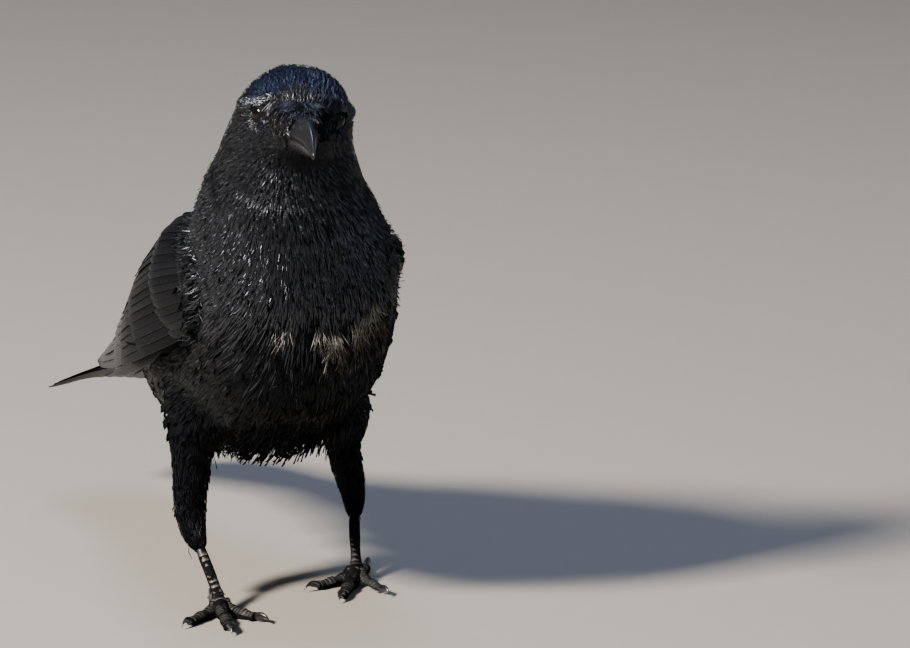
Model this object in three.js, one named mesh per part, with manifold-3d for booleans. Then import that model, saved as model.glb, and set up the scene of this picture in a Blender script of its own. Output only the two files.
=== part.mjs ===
// A carrion crow (Corvus corone) in mid-stride, life size, its head turned a little to its right.
// Units are millimetres, +Z is up and the bird faces -Y, so +X is the bird's own left. The origin is
// the middle of the box round the whole bird, at the ground.
// A place on the bird is written (side, ahead, up): side is to the bird's left of the middle between
// its feet, ahead is in front of it and up is above the ground.
import * as THREE from "three";
import { mergeVertices } from "three/addons/utils/BufferGeometryUtils.js";
import Module from "manifold-3d";

const wasm = await Module();
wasm.setup();

// ---------------------------------------------------------------- driving dimensions
const GAP = 0.3; // clearance between neighbouring pieces
const CUT_SIZE = 400; // half-space cutters are boxes of this size

// The torso's centre line from the tail root to the top of the neck.
// Each station: side, ahead, up, half width, reach to the back, reach to the breast.
const TORSO = [
  [-7, -140, 105, 14, 7, 14],
  [-7, -118, 114, 29, 17, 38],
  [-7, -87, 128, 41, 31, 53],
  [-7, -47, 143, 48, 45, 66],
  [-8, -7, 157, 53, 51, 75],
  [-9, 26, 172, 54, 52, 71],
  [-12, 45, 192, 53, 50, 57],
  [-17, 54, 213, 47, 46, 45],
  [-21, 59, 232, 40, 39, 38],
  [-23, 62, 250, 35, 34, 32],
  [-23, 65, 268, 29, 28, 25],
];
const BODY_SIDE = -10; // the body's middle plane stands this far to its right of the feet's
const TORSO_AROUND = 20;
const TORSO_ALONG = 16;
const SECTION_POWER = 2.35; // of the super-ellipse that the sections are

// Where the flesh is parted into pieces: a point of each plane and the direction it faces.
const CUTS = {
  throat: { point: [-23, 60, 238], normal: [0, 0.35, 1] },
  shoulders: { point: [-14, 50, 203], normal: [0, 0.6, 1] },
  rump: { point: [-6, -88, 130], normal: [0, 1, 0.3] },
};

// The head turns about this point, between the ears.
const HEAD_AT = [-23.5, 70, 260];
const HEAD_TURN = 14.5; // degrees to the bird's right
const HEAD_NOD = -5; // degrees, bill down
const HEAD_TILT = 6; // degrees, left eye down
// Stations along the head, from nape to bill: ahead, height of the middle, half width, crown, throat.
const HEAD = [
  [-34, 8, 8, 8, 10],
  [-28, 5, 20, 21, 22],
  [-17, 1, 28.5, 31, 26],
  [-4, -2, 32, 38.5, 24],
  [8, -1, 28, 36.5, 21],
  [18, 2, 22, 29.5, 18],
  [26, 4, 17, 21, 15],
  [32, 5, 13.5, 14.5, 12],
  [38, 5, 9.5, 9, 9],
];
const HEAD_AROUND = 18;
const HEAD_ALONG = 11;

// The pad of stiff bristles over the base of the culmen: half width, reach up and reach down.
const BRISTLE_PAD = [12.5, 9.5, 9];
const BRISTLE_START = 14;
const BRISTLE_END = 48; // the nasal bristles cover the culmen up to here

const EYE_RADIUS = 6.2;
const EYE_AT = [17.4, 15.5, 12.5]; // side, ahead and up in the head's own frame

const BILL_FROM = 24; // ahead of the head's centre, under the nasal bristles
const BILL_TIP = 80;
const BILL_UPPER_DEPTH = 11.5;
const BILL_LOWER_DEPTH = 8;
const BILL_HALF_WIDTH = 10;
const BILL_SEAM_UP = 2; // height of the closed gape line at the bill's base
const BILL_HOOK = 6; // how far the tip droops below the base's gape line

// Folded wing, left side: points of its lower and upper edge, from the wrist to the tip.
const WING_LOW = [
  [36, 62, 180],
  [45, 42, 158],
  [51, 8, 141],
  [53, -36, 125],
  [49, -80, 113],
  [41, -124, 104],
  [30, -168, 97],
  [16, -212, 91],
];
const WING_HIGH = [
  [36, 50, 208],
  [40, 24, 213],
  [42, -12, 207],
  [36, -48, 189],
  [27, -86, 168],
  [17, -126, 147],
  [8, -168, 122],
  [0, -210, 100],
];
const WING_BULGE = 9; // how far the middle of the wing stands out of the chord between its edges
const WING_THICK = 14; // of the shoulder and coverts
const COVERTS_AROUND = 12;
const COVERTS_ALONG = 9;
const COVERTS_END = 0.6; // share of the wing's length that the coverts and scapulars cover

const PRIMARIES = 6; // those that show beyond the secondaries
const SECONDARIES = 7; // with the tertials
const RECTRICES = 12;
// The lowest and the highest vane of each wing fan, from root to tip: share of the wing's length,
// share of its height, lift off the wing's face.
const PRIMARY_ENDS = [
  { root: [0.5, 0.12, -4], tip: [1, 0.12, -2] },
  { root: [0.5, 0.8, -4], tip: [0.86, 0.9, -2] },
];
const SECONDARY_ENDS = [
  { root: [0.44, 0.06, -1.5], tip: [0.7, 0.03, 1] },
  { root: [0.4, 0.96, -1.5], tip: [0.8, 1, 1.5] },
];
const FAN_THICK = 1.8; // of overlapping vanes together
const FAN_STEP = 1.1; // how far the edge of a vane stands over the next one
const FAN_ROWS = 4; // along each vane
const TAIL_ROOT = [-6, -120, 113];
const TAIL_LENGTH = 165;
const TAIL_DROP = 18; // degrees below level
const TAIL_FAN = 7; // degrees from the middle to the outermost feather
const TAIL_ROOT_HALF_WIDTH = 17;
const TAIL_ARCH = 5; // how far the sides of the tail lie below its middle

// Legs: where the ball of each foot, the hock and the knee are, as side, ahead and up.
const LEGS = {
  left: { mirror: 1, ball: [47, -15, 8], hock: [58, -45, 42], knee: [38.5, -18, 94], heading: -34 },
  right: { mirror: -1, ball: [-44, 16, 8], hock: [-48, -15, 42], knee: [-44, -17, 94], heading: -14 },
};
const TARSUS_RADIUS = 2.2;
// Half width and half depth of the feathered shin, from inside the belly to the hem of its feathers.
const SHIN = [[14, 22], [19, 30], [15.5, 21], [10.5, 13], [9, 10.8], [8.6, 10], [7.6, 8.8], [4.6, 5.4]];
const HEM = 0.36; // share of the tarsus that the shin's feathers cover
// Toes: direction in degrees from straight ahead (outwards is positive), length, claw length, radius.
const TOES = {
  inner: { turn: -38, length: 26, claw: 12, radius: 3.2 },
  middle: { turn: 0, length: 37, claw: 13, radius: 3.5 },
  outer: { turn: 38, length: 29, claw: 11, radius: 3.1 },
  hind: { turn: 178, length: 21, claw: 16, radius: 3.3 },
};
const GROUND = [[0, 0, 1], 0]; // the toes are pressed flat on this plane

const COLOURS = {
  plumage: 0x0b0c11,
  flight: 0x0e0f12,
  bill: 0x16171a,
  foot: 0x1a1a1c,
  claw: 0x101012,
  eye: 0x120b08,
};

// ---------------------------------------------------------------- small tools
const radians = THREE.MathUtils.degToRad;
const lerp = THREE.MathUtils.lerp;
const clamp = THREE.MathUtils.clamp;

// A bird place (side, ahead, up) as a vector of the part's frame.
const at = ([side, ahead, up]) => new THREE.Vector3(side, -ahead, up);

// Catmull-Rom interpolation of rows of numbers, with t from 0 to 1.
function spline(rows, t) {
  const last = rows.length - 1;
  const i = Math.min(Math.floor(clamp(t, 0, 1) * last), last - 1);
  const f = clamp(t, 0, 1) * last - i;
  const row = (k) => rows[clamp(k, 0, last)];
  return rows[0].map((_, n) => {
    const [a, b, c, d] = [row(i - 1)[n], row(i)[n], row(i + 1)[n], row(i + 2)[n]];
    const [slope, bend, turn] = [c - a, 2 * a - 5 * b + 4 * c - d, 3 * b - a - 3 * c + d];
    return b + 0.5 * (slope * f + bend * f ** 2 + turn * f ** 3);
  });
}

// A closed tube of rings: place(angle, t, rim) gives each point, with rim 0 at the middle of an end.
function tube(around, along, place) {
  const geometry = new THREE.CylinderGeometry(1, 1, 1, around, along);
  const points = geometry.attributes.position;
  for (let i = 0; i < points.count; i++) {
    const [x, y, z] = [points.getX(i), points.getY(i), points.getZ(i)];
    const rim = Math.round(Math.hypot(x, z));
    points.setXYZ(i, ...place(Math.atan2(x, z), y + 0.5, rim).toArray());
  }
  return solid(geometry);
}

// A geometry as a manifold-3d solid with its faces pointing out.
function solid(geometry) {
  for (const name of ["normal", "uv"]) geometry.deleteAttribute(name);
  const merged = mergeVertices(geometry, 1e-3);
  const faces = new Uint32Array(merged.index.array);
  const mesh = { numProp: 3, vertProperties: merged.attributes.position.array, triVerts: faces };
  const make = () => new wasm.Manifold(new wasm.Mesh(mesh));
  const made = make();
  if (made.volume() > 0) return made;
  for (let i = 0; i < faces.length; i += 3) [faces[i], faces[i + 1]] = [faces[i + 1], faces[i]];
  return make();
}

function geometryOf(made) {
  const { numProp, numVert, vertProperties, triVerts } = made.getMesh();
  const flat = new Float32Array(numVert * 3);
  for (let i = 0; i < numVert; i++) {
    flat.set(vertProperties.subarray(i * numProp, i * numProp + 3), i * 3);
  }
  return new THREE.BufferGeometry()
    .setAttribute("position", new THREE.BufferAttribute(flat, 3))
    .setIndex(new THREE.BufferAttribute(triVerts, 1));
}

const joined = (solids) => solids.reduce((a, b) => a.add(b));

// Everything on the far side of a plane, as a large box that stands back from it by half a gap.
function beyond(point, normal) {
  const box = new THREE.BoxGeometry(CUT_SIZE, CUT_SIZE, CUT_SIZE).translate(0, 0, (CUT_SIZE + GAP) / 2);
  const up = new THREE.Vector3(0, 0, 1);
  const turn = new THREE.Quaternion().setFromUnitVectors(up, normal.clone().normalize());
  return solid(box.applyQuaternion(turn).translate(...point.toArray()));
}

// Parts a solid along a plane and gives the side the normal points to, then the other.
function parted(whole, { point, normal }) {
  const facing = at(normal);
  const [near, far] = [facing, facing.clone().negate()].map((way) => beyond(at(point), way));
  return [whole.intersect(near), whole.intersect(far)];
}

// The largest body of a solid, without the slivers a cut can leave.
function largest(made) {
  return made.decompose().reduce((a, b) => (a.volume() >= b.volume() ? a : b));
}

// A point of a super-ellipse of half width 1 whose upper half and lower half have their own reach.
function oval(angle, halfWidth, above, below) {
  const round = (v) => Math.sign(v) * Math.abs(v) ** (2 / SECTION_POWER);
  const [c, s] = [round(Math.cos(angle)), round(Math.sin(angle))];
  return [c * halfWidth, s * (s > 0 ? above : below)];
}

// ---------------------------------------------------------------- torso and neck
// grow makes the same form larger all round, to cut neighbours back by the gap.
function torso(grow = 0) {
  const step = 1e-3;
  return tube(TORSO_AROUND, TORSO_ALONG, (angle, t, rim) => {
    const [side, ahead, up, halfWidth, back, breast] = spline(TORSO, t);
    const from = spline(TORSO, t - step);
    const to = spline(TORSO, t + step);
    const along = new THREE.Vector2(to[1] - from[1], to[2] - from[2]).normalize();
    const [across, rise] = oval(angle, halfWidth + grow, back + grow, breast + grow);
    const end = t <= 0 ? -grow : t >= 1 ? grow : 0;
    return at([
      side + across * rim,
      ahead - along.y * rise * rim + along.x * end,
      up + along.x * rise * rim + along.y * end,
    ]);
  });
}

// ---------------------------------------------------------------- head
const headFrame = new THREE.Group();
headFrame.position.copy(at(HEAD_AT));
headFrame.rotation.set(radians(HEAD_NOD), radians(HEAD_TILT), -radians(HEAD_TURN), "ZXY");
headFrame.updateMatrix();
const inHead = (point) => at(point).applyMatrix4(headFrame.matrix);

function skull() {
  return tube(HEAD_AROUND, HEAD_ALONG, (angle, t, rim) => {
    const [ahead, middle, halfWidth, crown, throat] = spline(HEAD, t);
    const [side, up] = oval(angle, halfWidth, crown, throat);
    return inHead([side * rim, ahead, middle + up * rim]);
  });
}

// Height of the closed gape line and of the culmen and the keel, at a share t of the bill.
const billAhead = (t) => lerp(BILL_FROM, BILL_TIP, t);
const gapeUp = (t) => BILL_SEAM_UP + 1.5 * Math.sin(Math.PI * t) - BILL_HOOK * 0.55 * t ** 3;

// The pad of stiff bristles that lies forward over the base of the culmen.
function bristlePad() {
  return tube(10, 5, (angle, t, rim) => {
    const taper = Math.sqrt(1 - clamp(t, 0, 1) ** 2.4) * 0.93 + 0.07;
    const ahead = lerp(BRISTLE_START, BRISTLE_END, t);
    const [side, up] = oval(angle, ...BRISTLE_PAD.map((size) => size * taper));
    return inHead([side * rim, ahead, lerp(12, 9, t) + up * rim]);
  });
}

function billHalf(upper, grow = 0) {
  return tube(10, 8, (angle, t, rim) => {
    const slim = Math.sqrt(Math.max(1 - t ** (upper ? 2.1 : 2.6), 0)) * 0.96 + 0.04;
    const depth = (upper ? BILL_UPPER_DEPTH : BILL_LOWER_DEPTH) * slim + 2 * grow;
    const reach = upper ? t : t * 0.93;
    const wide = BILL_HALF_WIDTH * (0.25 + 0.75 * (1 - t)) * slim + grow;
    const seam = gapeUp(reach) + (upper ? 1 : -1) * (GAP / 2 - grow);
    const c = Math.cos(angle);
    const s = Math.sin(angle);
    const flat = upper ? s <= 0 : s >= 0;
    const rise = flat ? 0 : Math.abs(s) ** 0.85 * depth * (upper ? 1 : -1);
    const droop = upper ? BILL_HOOK * 0.45 * t ** 5 : 0;
    const shrink = flat ? 1 - 0.35 * Math.abs(s) : 1;
    const end = t <= 0 ? -grow : 0;
    const up = seam + (rise - droop) * (rim || 0.4);
    return inHead([c * wide * shrink * rim, billAhead(reach) + end, up]);
  });
}

function eyeBall(mirror, grow = 0) {
  const ball = new THREE.SphereGeometry(EYE_RADIUS + grow, 12, 8);
  return solid(ball.translate(...inHead([mirror * EYE_AT[0], EYE_AT[1], EYE_AT[2]]).toArray()));
}

// ---------------------------------------------------------------- feathers of the wing and the tail
// A plate of n vanes that overlap like shingles. Each vane has an edge that lies over the next one,
// a shaft and an edge that lies under. place(k, t, lift) gives a point at a share k across the fan
// and t along it; overAtStart(i) says which side of vane i lies on top.
function fan(n, grow, overAtStart, place) {
  const columns = 3 * n - 1;
  const box = new THREE.BoxGeometry(1, 1, 1, columns, 1, FAN_ROWS);
  const points = box.attributes.position;
  for (let p = 0; p < points.count; p++) {
    const column = Math.round((points.getX(p) + 0.5) * columns);
    const i = Math.floor(column / 3);
    const across = [0.02, 0.5, 0.98][column % 3];
    const over = overAtStart(i) ? 1 - across : across;
    const t = points.getZ(p) + 0.5;
    const short = Math.abs(across - 0.5) > 0.3 ? 0.035 : 0;
    const lift = points.getY(p) > 0 ? FAN_STEP * over + grow : -FAN_THICK - grow;
    points.setXYZ(p, ...place((i + across) / n, t * (1 - short), lift, i).toArray());
  }
  return solid(box);
}

// A point of the folded wing's outer face: s runs from wrist to tip, r from the lower to the upper edge.
function wingPoint(mirror, s, r, lift = 0) {
  const low = spline(WING_LOW, s);
  const high = spline(WING_HIGH, s);
  const point = low.map((v, i) => lerp(v, high[i], r));
  const rise = new THREE.Vector2(high[0] - low[0], high[2] - low[2]).normalize();
  const out = Math.sin(Math.PI * r) * WING_BULGE * (1 - 0.6 * s) + lift;
  return at([BODY_SIDE + mirror * (point[0] + rise.y * out), point[1], point[2] - rise.x * out]);
}

// The shoulder, scapulars and coverts as one closed shell.
function coverts(mirror, grow = 0) {
  return tube(COVERTS_AROUND, COVERTS_ALONG, (angle, t, rim) => {
    const r = 0.5 - 0.5 * Math.cos(angle) * rim * (1 + grow / 25);
    const end = COVERTS_END - 0.1 * (2 * r - 0.9) ** 2;
    const s = lerp(0.03 - grow / 50, end + grow / 50, t);
    const swell = 0.4 + 0.6 * Math.sin(Math.PI * clamp(0.2 + 0.7 * t, 0, 1));
    return wingPoint(mirror, s, r, Math.sin(angle) * (WING_THICK * 0.5 * swell + grow) * rim);
  });
}

// A fan of wing feathers: its lowest and its highest vane are given by where they start and end, each
// as (s, r, lift), and the vanes between them are spread evenly.
function wingFan(mirror, n, grow, lowest, highest) {
  return fan(n, grow, () => true, (k, t, lift) => {
    const between = (end) => lowest[end].map((v, j) => lerp(v, highest[end][j], k));
    const [root, tip] = [between("root"), between("tip")];
    const [s, r, base] = root.map((v, j) => lerp(v, tip[j], t));
    return wingPoint(mirror, s, r, base + lift);
  });
}

const primaries = (mirror) => wingFan(mirror, PRIMARIES, 0, ...PRIMARY_ENDS);
const secondaries = (mirror, grow = 0) => wingFan(mirror, SECONDARIES, grow, ...SECONDARY_ENDS);

// The tail is a flat arch; its two middle feathers lie on top of all others.
function tailFan(grow) {
  return fan(RECTRICES, grow, (i) => i < RECTRICES / 2, (share, t, lift) => {
    const k = 2 * share - 1; // -1 at the right edge, 1 at the left edge
    const sweep = radians(TAIL_FAN * k);
    const length = TAIL_LENGTH * (1 - 0.07 * k * k) * t;
    const sag = TAIL_ARCH * k * k - 2 * Math.sin(Math.PI * t);
    return at([
      TAIL_ROOT[0] + k * TAIL_ROOT_HALF_WIDTH + Math.sin(sweep) * length,
      TAIL_ROOT[1] - Math.cos(sweep) * length * Math.cos(radians(TAIL_DROP)),
      TAIL_ROOT[2] - length * Math.sin(radians(TAIL_DROP)) - sag + lift,
    ]);
  });
}

// ---------------------------------------------------------------- legs
// A limb is a tube along a bent line with an oval section of its own at each share t.
function limb(line, size, around, along) {
  return tube(around, along, (angle, t, rim) => {
    const [wide, deep] = size(t);
    const ahead = line.getTangentAt(t);
    const side = new THREE.Vector3(1, 0, 0).addScaledVector(ahead, -ahead.x).normalize();
    const face = new THREE.Vector3().crossVectors(side, ahead).normalize();
    return line
      .getPointAt(t)
      .addScaledVector(side, Math.cos(angle) * wide * rim)
      .addScaledVector(face, Math.sin(angle) * deep * rim);
  });
}

function shin({ knee, hock, ball }) {
  const inside = at([knee[0] * 0.7, knee[1] + 4, knee[2] + 26]);
  const calf = at(knee).lerp(at(hock), 0.55).add(at([0, -3, 0]));
  const hem = at(hock).lerp(at(ball), HEM);
  const line = new THREE.CatmullRomCurve3([inside, at(knee), calf, at(hock), hem]);
  return limb(line, (t) => spline(SHIN, t), 12, 9);
}

function tarsus({ hock, ball }, grow = 0) {
  const line = new THREE.LineCurve3(at(hock).lerp(at(ball), HEM + 0.01), at(ball));
  return limb(line, (t) => {
    const joint = 1 + 0.5 * Math.max(2 * t - 1, 0) ** 4;
    return [TARSUS_RADIUS * joint * 0.92 + grow, TARSUS_RADIUS * joint * 1.12 + grow];
  }, 10, 5);
}

// The line of a toe and of its claw, on the ground plane, from the ball of the foot.
function toeLine({ ball, mirror, heading }, toe) {
  const turn = radians(heading + mirror * toe.turn);
  const [dx, dy] = [Math.sin(turn), Math.cos(turn)];
  const reach = (length, up) => at([ball[0] + dx * length, ball[1] + dy * length, up]);
  const r = toe.radius;
  const digit = new THREE.CatmullRomCurve3([
    reach(3, 6),
    reach(toe.length * 0.34, r * 0.74),
    reach(toe.length * 0.68, r * 0.64),
    reach(toe.length, r * 0.55),
  ]);
  const claw = new THREE.QuadraticBezierCurve3(
    reach(toe.length + 1, r * 0.95),
    reach(toe.length + toe.claw * 0.62, r + 3.2),
    reach(toe.length + toe.claw * 0.92, 0.9),
  );
  return { digit, claw };
}

// Pads under the joints make the toe swell and narrow along its length.
function digitSolid(leg, toe, grow = 0) {
  const { digit } = toeLine(leg, toe);
  return limb(digit, (t) => {
    const pad = 1 + 0.1 * Math.cos(t * Math.PI * 6);
    const size = toe.radius * lerp(1.05, 0.72, t) * pad + grow;
    return [size, size * 0.95];
  }, 7, 6);
}

function clawSolid(leg, toe, grow = 0) {
  const { claw } = toeLine(leg, toe);
  return limb(claw, (t) => {
    const size = toe.radius * 0.62 * Math.max(1 - t ** 1.4, 0.1);
    return [size * 0.8 + grow, size * 1.1 + grow];
  }, 6, 4);
}

// ---------------------------------------------------------------- assembly
const finish = (colour, roughness) =>
  new THREE.MeshStandardMaterial({ color: COLOURS[colour], roughness, metalness: 0 });
const PLUMAGE = finish("plumage", 0.5);
const FLIGHT = finish("flight", 0.4);
const BILL = finish("bill", 0.3);
const FOOT = finish("foot", 0.55);
const CLAW = finish("claw", 0.35);
const EYE = finish("eye", 0.05);

const crow = new THREE.Group();
crow.name = "crow";
function add(name, made, material) {
  const mesh = new THREE.Mesh(geometryOf(largest(made)), material);
  mesh.name = name;
  crow.add(mesh);
}

// The flesh and its plumage are modelled whole and then parted at the neck, the shoulders and the rump.
const flesh = joined([torso(), skull(), bristlePad()]);
const [headWhole, below] = parted(flesh, CUTS.throat);
const [neck, trunkWhole] = parted(below, CUTS.shoulders);
const [trunk, rump] = parted(trunkWhole, CUTS.rump);
const sockets = joined([eyeBall(1, GAP), eyeBall(-1, GAP), billHalf(true, GAP), billHalf(false, GAP)]);
add("head", headWhole.subtract(sockets), PLUMAGE);
add("neck", neck, PLUMAGE);
add("trunk", trunk, PLUMAGE);
add("rump", rump, PLUMAGE);
add("bill_upper", billHalf(true), BILL);
add("bill_lower", billHalf(false).subtract(billHalf(true, GAP)), BILL);
add("eye_left", eyeBall(1), EYE);
add("eye_right", eyeBall(-1), EYE);

// Whatever lies against the body is cut back to leave the gap.
const body = torso(GAP);
add("tail", tailFan(0).subtract(body), FLIGHT);
for (const [side, leg] of Object.entries(LEGS)) {
  const { mirror } = leg;
  add(`wing_${side}_coverts`, coverts(mirror).subtract(body), PLUMAGE);
  const shoulder = body.add(coverts(mirror, GAP));
  add(`wing_${side}_secondaries`, secondaries(mirror).subtract(shoulder), FLIGHT);
  const under = joined([shoulder, secondaries(mirror, GAP), tailFan(GAP)]);
  add(`wing_${side}_primaries`, primaries(mirror).subtract(under), FLIGHT);
  add(`shin_${side}`, shin(leg).subtract(shoulder), PLUMAGE);
  add(`tarsus_${side}`, tarsus(leg), FOOT);
  const claws = Object.values(TOES).map((toe) => clawSolid(leg, toe, GAP));
  let taken = joined([tarsus(leg, GAP), ...claws]);
  for (const [name, toe] of Object.entries(TOES)) {
    add(`toe_${side}_${name}`, digitSolid(leg, toe).subtract(taken).trimByPlane(...GROUND), FOOT);
    add(`claw_${side}_${name}`, clawSolid(leg, toe).trimByPlane(...GROUND), CLAW);
    taken = taken.add(digitSolid(leg, toe, GAP));
  }
}

const box = new THREE.Box3().setFromObject(crow);
const middle = box.getCenter(new THREE.Vector3());
crow.position.set(-middle.x, -middle.y, -box.min.z);

export default crow;
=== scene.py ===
"""A carrion crow: skin, plumage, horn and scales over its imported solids, laid out as an add-on."""

import math

import bmesh
import bpy
import numpy as np
from mathutils import Matrix, Vector
from mathutils.bvhtree import BVHTree
from mathutils.kdtree import KDTree


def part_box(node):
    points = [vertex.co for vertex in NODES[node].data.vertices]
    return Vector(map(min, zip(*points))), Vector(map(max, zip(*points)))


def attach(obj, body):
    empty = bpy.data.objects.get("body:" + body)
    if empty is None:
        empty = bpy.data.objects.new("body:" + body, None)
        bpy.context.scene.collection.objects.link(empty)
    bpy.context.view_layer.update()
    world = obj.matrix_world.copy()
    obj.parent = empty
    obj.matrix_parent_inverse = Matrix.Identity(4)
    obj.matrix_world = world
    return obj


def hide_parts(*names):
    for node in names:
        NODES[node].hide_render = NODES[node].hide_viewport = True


bl_info = {
    "name": "Carrion Crow",
    "version": (1, 0, 0),
    "blender": (4, 5, 0),
    "location": "View3D > Sidebar > Crow",
    "description": "Skin, feathers, bill, eyes, scales and claws of a life-size crow",
    "category": "Object",
}

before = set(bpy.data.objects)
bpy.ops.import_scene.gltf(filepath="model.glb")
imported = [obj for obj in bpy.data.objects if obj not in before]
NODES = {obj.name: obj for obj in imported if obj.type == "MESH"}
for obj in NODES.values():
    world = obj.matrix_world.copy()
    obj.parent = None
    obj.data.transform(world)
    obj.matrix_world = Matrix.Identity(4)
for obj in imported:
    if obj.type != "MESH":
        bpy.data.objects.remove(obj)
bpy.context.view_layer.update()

# ---------------------------------------------------------------- places on the bird, in millimetres
# A place is (side, ahead, up): side is to the bird's left of the middle between its feet, ahead is in
# front of it and up is above the ground.
MM = 0.001
BODY_SIDE = -10
HEAD_AT = (-23.5, 70, 260)
HEAD_TURN, HEAD_NOD, HEAD_TILT = 14.5, -5, 6  # degrees
EYE_AT = (17.4, 15.5, 12.5)  # in the head's own frame, as all that follow up to the spine
EYE_RADIUS = 6.2
BILL_FROM, BILL_TIP = 24, 80
BILL_UPPER_DEPTH, BILL_LOWER_DEPTH = 11.5, 8
BILL_HALF_WIDTH = 10
BILL_SEAM_UP, BILL_HOOK = 2, 6
BILL_GAP = 0.3
BILL_ROOT = 7  # how far the horn runs on under the feathers of the face
BRISTLES_FROM = 20  # the nasal bristles grow forward from here on
# The line that the plumage follows, from the nape to the tail.
SPINE = [
    (-24, 66, 268), (-23, 58, 240), (-15, 48, 208), (-10, 22, 176),
    (-8, -20, 156), (-7, -80, 132), (-7, -150, 98),
]
WING_LOW = [
    (36, 62, 180), (45, 42, 158), (51, 8, 141), (53, -36, 125),
    (49, -80, 113), (41, -124, 104), (30, -168, 97), (16, -212, 91),
]
WING_HIGH = [
    (36, 50, 208), (40, 24, 213), (42, -12, 207), (36, -48, 189),
    (27, -86, 168), (17, -126, 147), (8, -168, 122), (0, -210, 100),
]
WING_BULGE, WING_THICK = 9, 14
COVERTS_END = 0.6  # how far along the wing the coverts' shell reaches
TAIL_ROOT = (-6, -120, 113)
TAIL_LENGTH, TAIL_DROP, TAIL_FAN = 165, 18, 7
TAIL_ROOT_HALF_WIDTH, TAIL_ARCH = 17, 5
RECTRICES = 12
LEGS = {
    "left": {
        "mirror": 1, "ball": (47, -15, 8), "hock": (58, -45, 42), "knee": (38.5, -18, 94),
        "heading": -34,
    },
    "right": {
        "mirror": -1, "ball": (-44, 16, 8), "hock": (-48, -15, 42), "knee": (-44, -17, 94),
        "heading": -14,
    },
}
HEM = 0.36  # share of the way from hock to ball that the feathers of the shin cover
TARSUS_RADIUS = 2.2
TOES = {
    "inner": {"turn": -38, "length": 26, "claw": 12, "radius": 3.2},
    "middle": {"turn": 0, "length": 37, "claw": 13, "radius": 3.5},
    "outer": {"turn": 38, "length": 29, "claw": 11, "radius": 3.1},
    "hind": {"turn": 178, "length": 21, "claw": 16, "radius": 3.3},
}

HEAD_FRAME = (
    Matrix.Translation(Vector((HEAD_AT[0], -HEAD_AT[1], HEAD_AT[2])))
    @ Matrix.Rotation(-math.radians(HEAD_TURN), 4, "Z")
    @ Matrix.Rotation(math.radians(HEAD_NOD), 4, "X")
    @ Matrix.Rotation(math.radians(HEAD_TILT), 4, "Y")
)


def box_middle(node):
    low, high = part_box(node)
    return (Vector(low) + Vector(high)) / 2


# The middle between the feet, found from where the left eye is in the frame.
FEET = box_middle("eye_left") - HEAD_FRAME @ Vector((EYE_AT[0], -EYE_AT[1], EYE_AT[2])) * MM


def place(side, ahead, up):
    return Vector((side, -ahead, up)) * MM + FEET


def in_head(side, ahead, up):
    return HEAD_FRAME @ Vector((side, -ahead, up)) * MM + FEET


def eye_middle(mirror):
    """The middle of the left eye, or with a mirror of -1 that of the right one."""
    return in_head(mirror * EYE_AT[0], EYE_AT[1], EYE_AT[2])


def head_turned(side, ahead, up):
    """A direction given in the head's own frame."""
    return (HEAD_FRAME.to_3x3() @ Vector((side, -ahead, up))).normalized()


def lerp(a, b, t):
    return a + (b - a) * t


def clamp(value, low=0.0, high=1.0):
    return min(max(value, low), high)


def smoothstep(low, high, value):
    t = np.clip((np.asarray(value, float) - low) / (high - low), 0, 1)
    return t * t * (3 - 2 * t)


def spline(rows, t):
    """Catmull-Rom interpolation of rows of numbers, with t from 0 to 1."""
    last = len(rows) - 1
    i = min(int(clamp(t) * last), last - 1)
    f = clamp(t) * last - i
    a, b, c, d = (rows[int(clamp(i + k, 0, last))] for k in (-1, 0, 1, 2))
    return [
        0.5 * (2 * q + (r - p) * f + (2 * p - 5 * q + 4 * r - s) * f**2 + (3 * q - p - 3 * r + s) * f**3)
        for p, q, r, s in zip(a, b, c, d)
    ]


def wing_point(mirror, s, r, lift=0.0):
    """A point off the folded wing: s runs from wrist to tip, r from the lower to the upper edge."""
    low, high = spline(WING_LOW, s), spline(WING_HIGH, s)
    side, ahead, up = (lerp(a, b, r) for a, b in zip(low, high))
    rise = Vector((high[0] - low[0], high[2] - low[2])).normalized()
    out = math.sin(math.pi * clamp(r)) * WING_BULGE * (1 - 0.6 * s) + lift
    return place(BODY_SIDE + mirror * (side + rise.y * out), ahead, up - rise.x * out)


def wing_height(s):
    """The distance from the lower to the upper edge of the wing, in millimetres."""
    low, high = spline(WING_LOW, s), spline(WING_HIGH, s)
    return math.dist(low, high)


def wing_shell(s, r):
    """How far the coverts' shell stands off the wing's middle surface."""
    swell = 0.4 + 0.6 * math.sin(math.pi * clamp(0.2 + 0.7 * s / COVERTS_END))
    fade = 1 - float(smoothstep(COVERTS_END - 0.14, COVERTS_END + 0.08, s))
    return WING_THICK / 2 * swell * 2 * math.sqrt(clamp(r * (1 - r))) * fade


def tail_point(k, t, lift=0.0):
    """A point of the tail: k runs from its right to its left edge as -1 to 1, t from root to tip."""
    sweep, drop = math.radians(TAIL_FAN * k), math.radians(TAIL_DROP)
    length = TAIL_LENGTH * (1 - 0.07 * k * k) * t
    sag = TAIL_ARCH * k * k - 2 * math.sin(math.pi * clamp(t))
    return place(
        TAIL_ROOT[0] + k * TAIL_ROOT_HALF_WIDTH + math.sin(sweep) * length,
        TAIL_ROOT[1] - math.cos(sweep) * length * math.cos(drop),
        TAIL_ROOT[2] - length * math.sin(drop) - sag + lift,
    )


# ---------------------------------------------------------------- settings
def linear(hex_colour):
    """An sRGB hex value as a linear colour."""
    channels = [int(hex_colour[i : i + 2], 16) / 255 for i in (1, 3, 5)]
    return [c / 12.92 if c <= 0.04045 else ((c + 0.055) / 1.055) ** 2.4 for c in channels]


def colour_property(name, description, hex_colour):
    return bpy.props.FloatVectorProperty(
        name=name, description=description, default=linear(hex_colour), subtype="COLOR", min=0, max=1
    )


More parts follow.
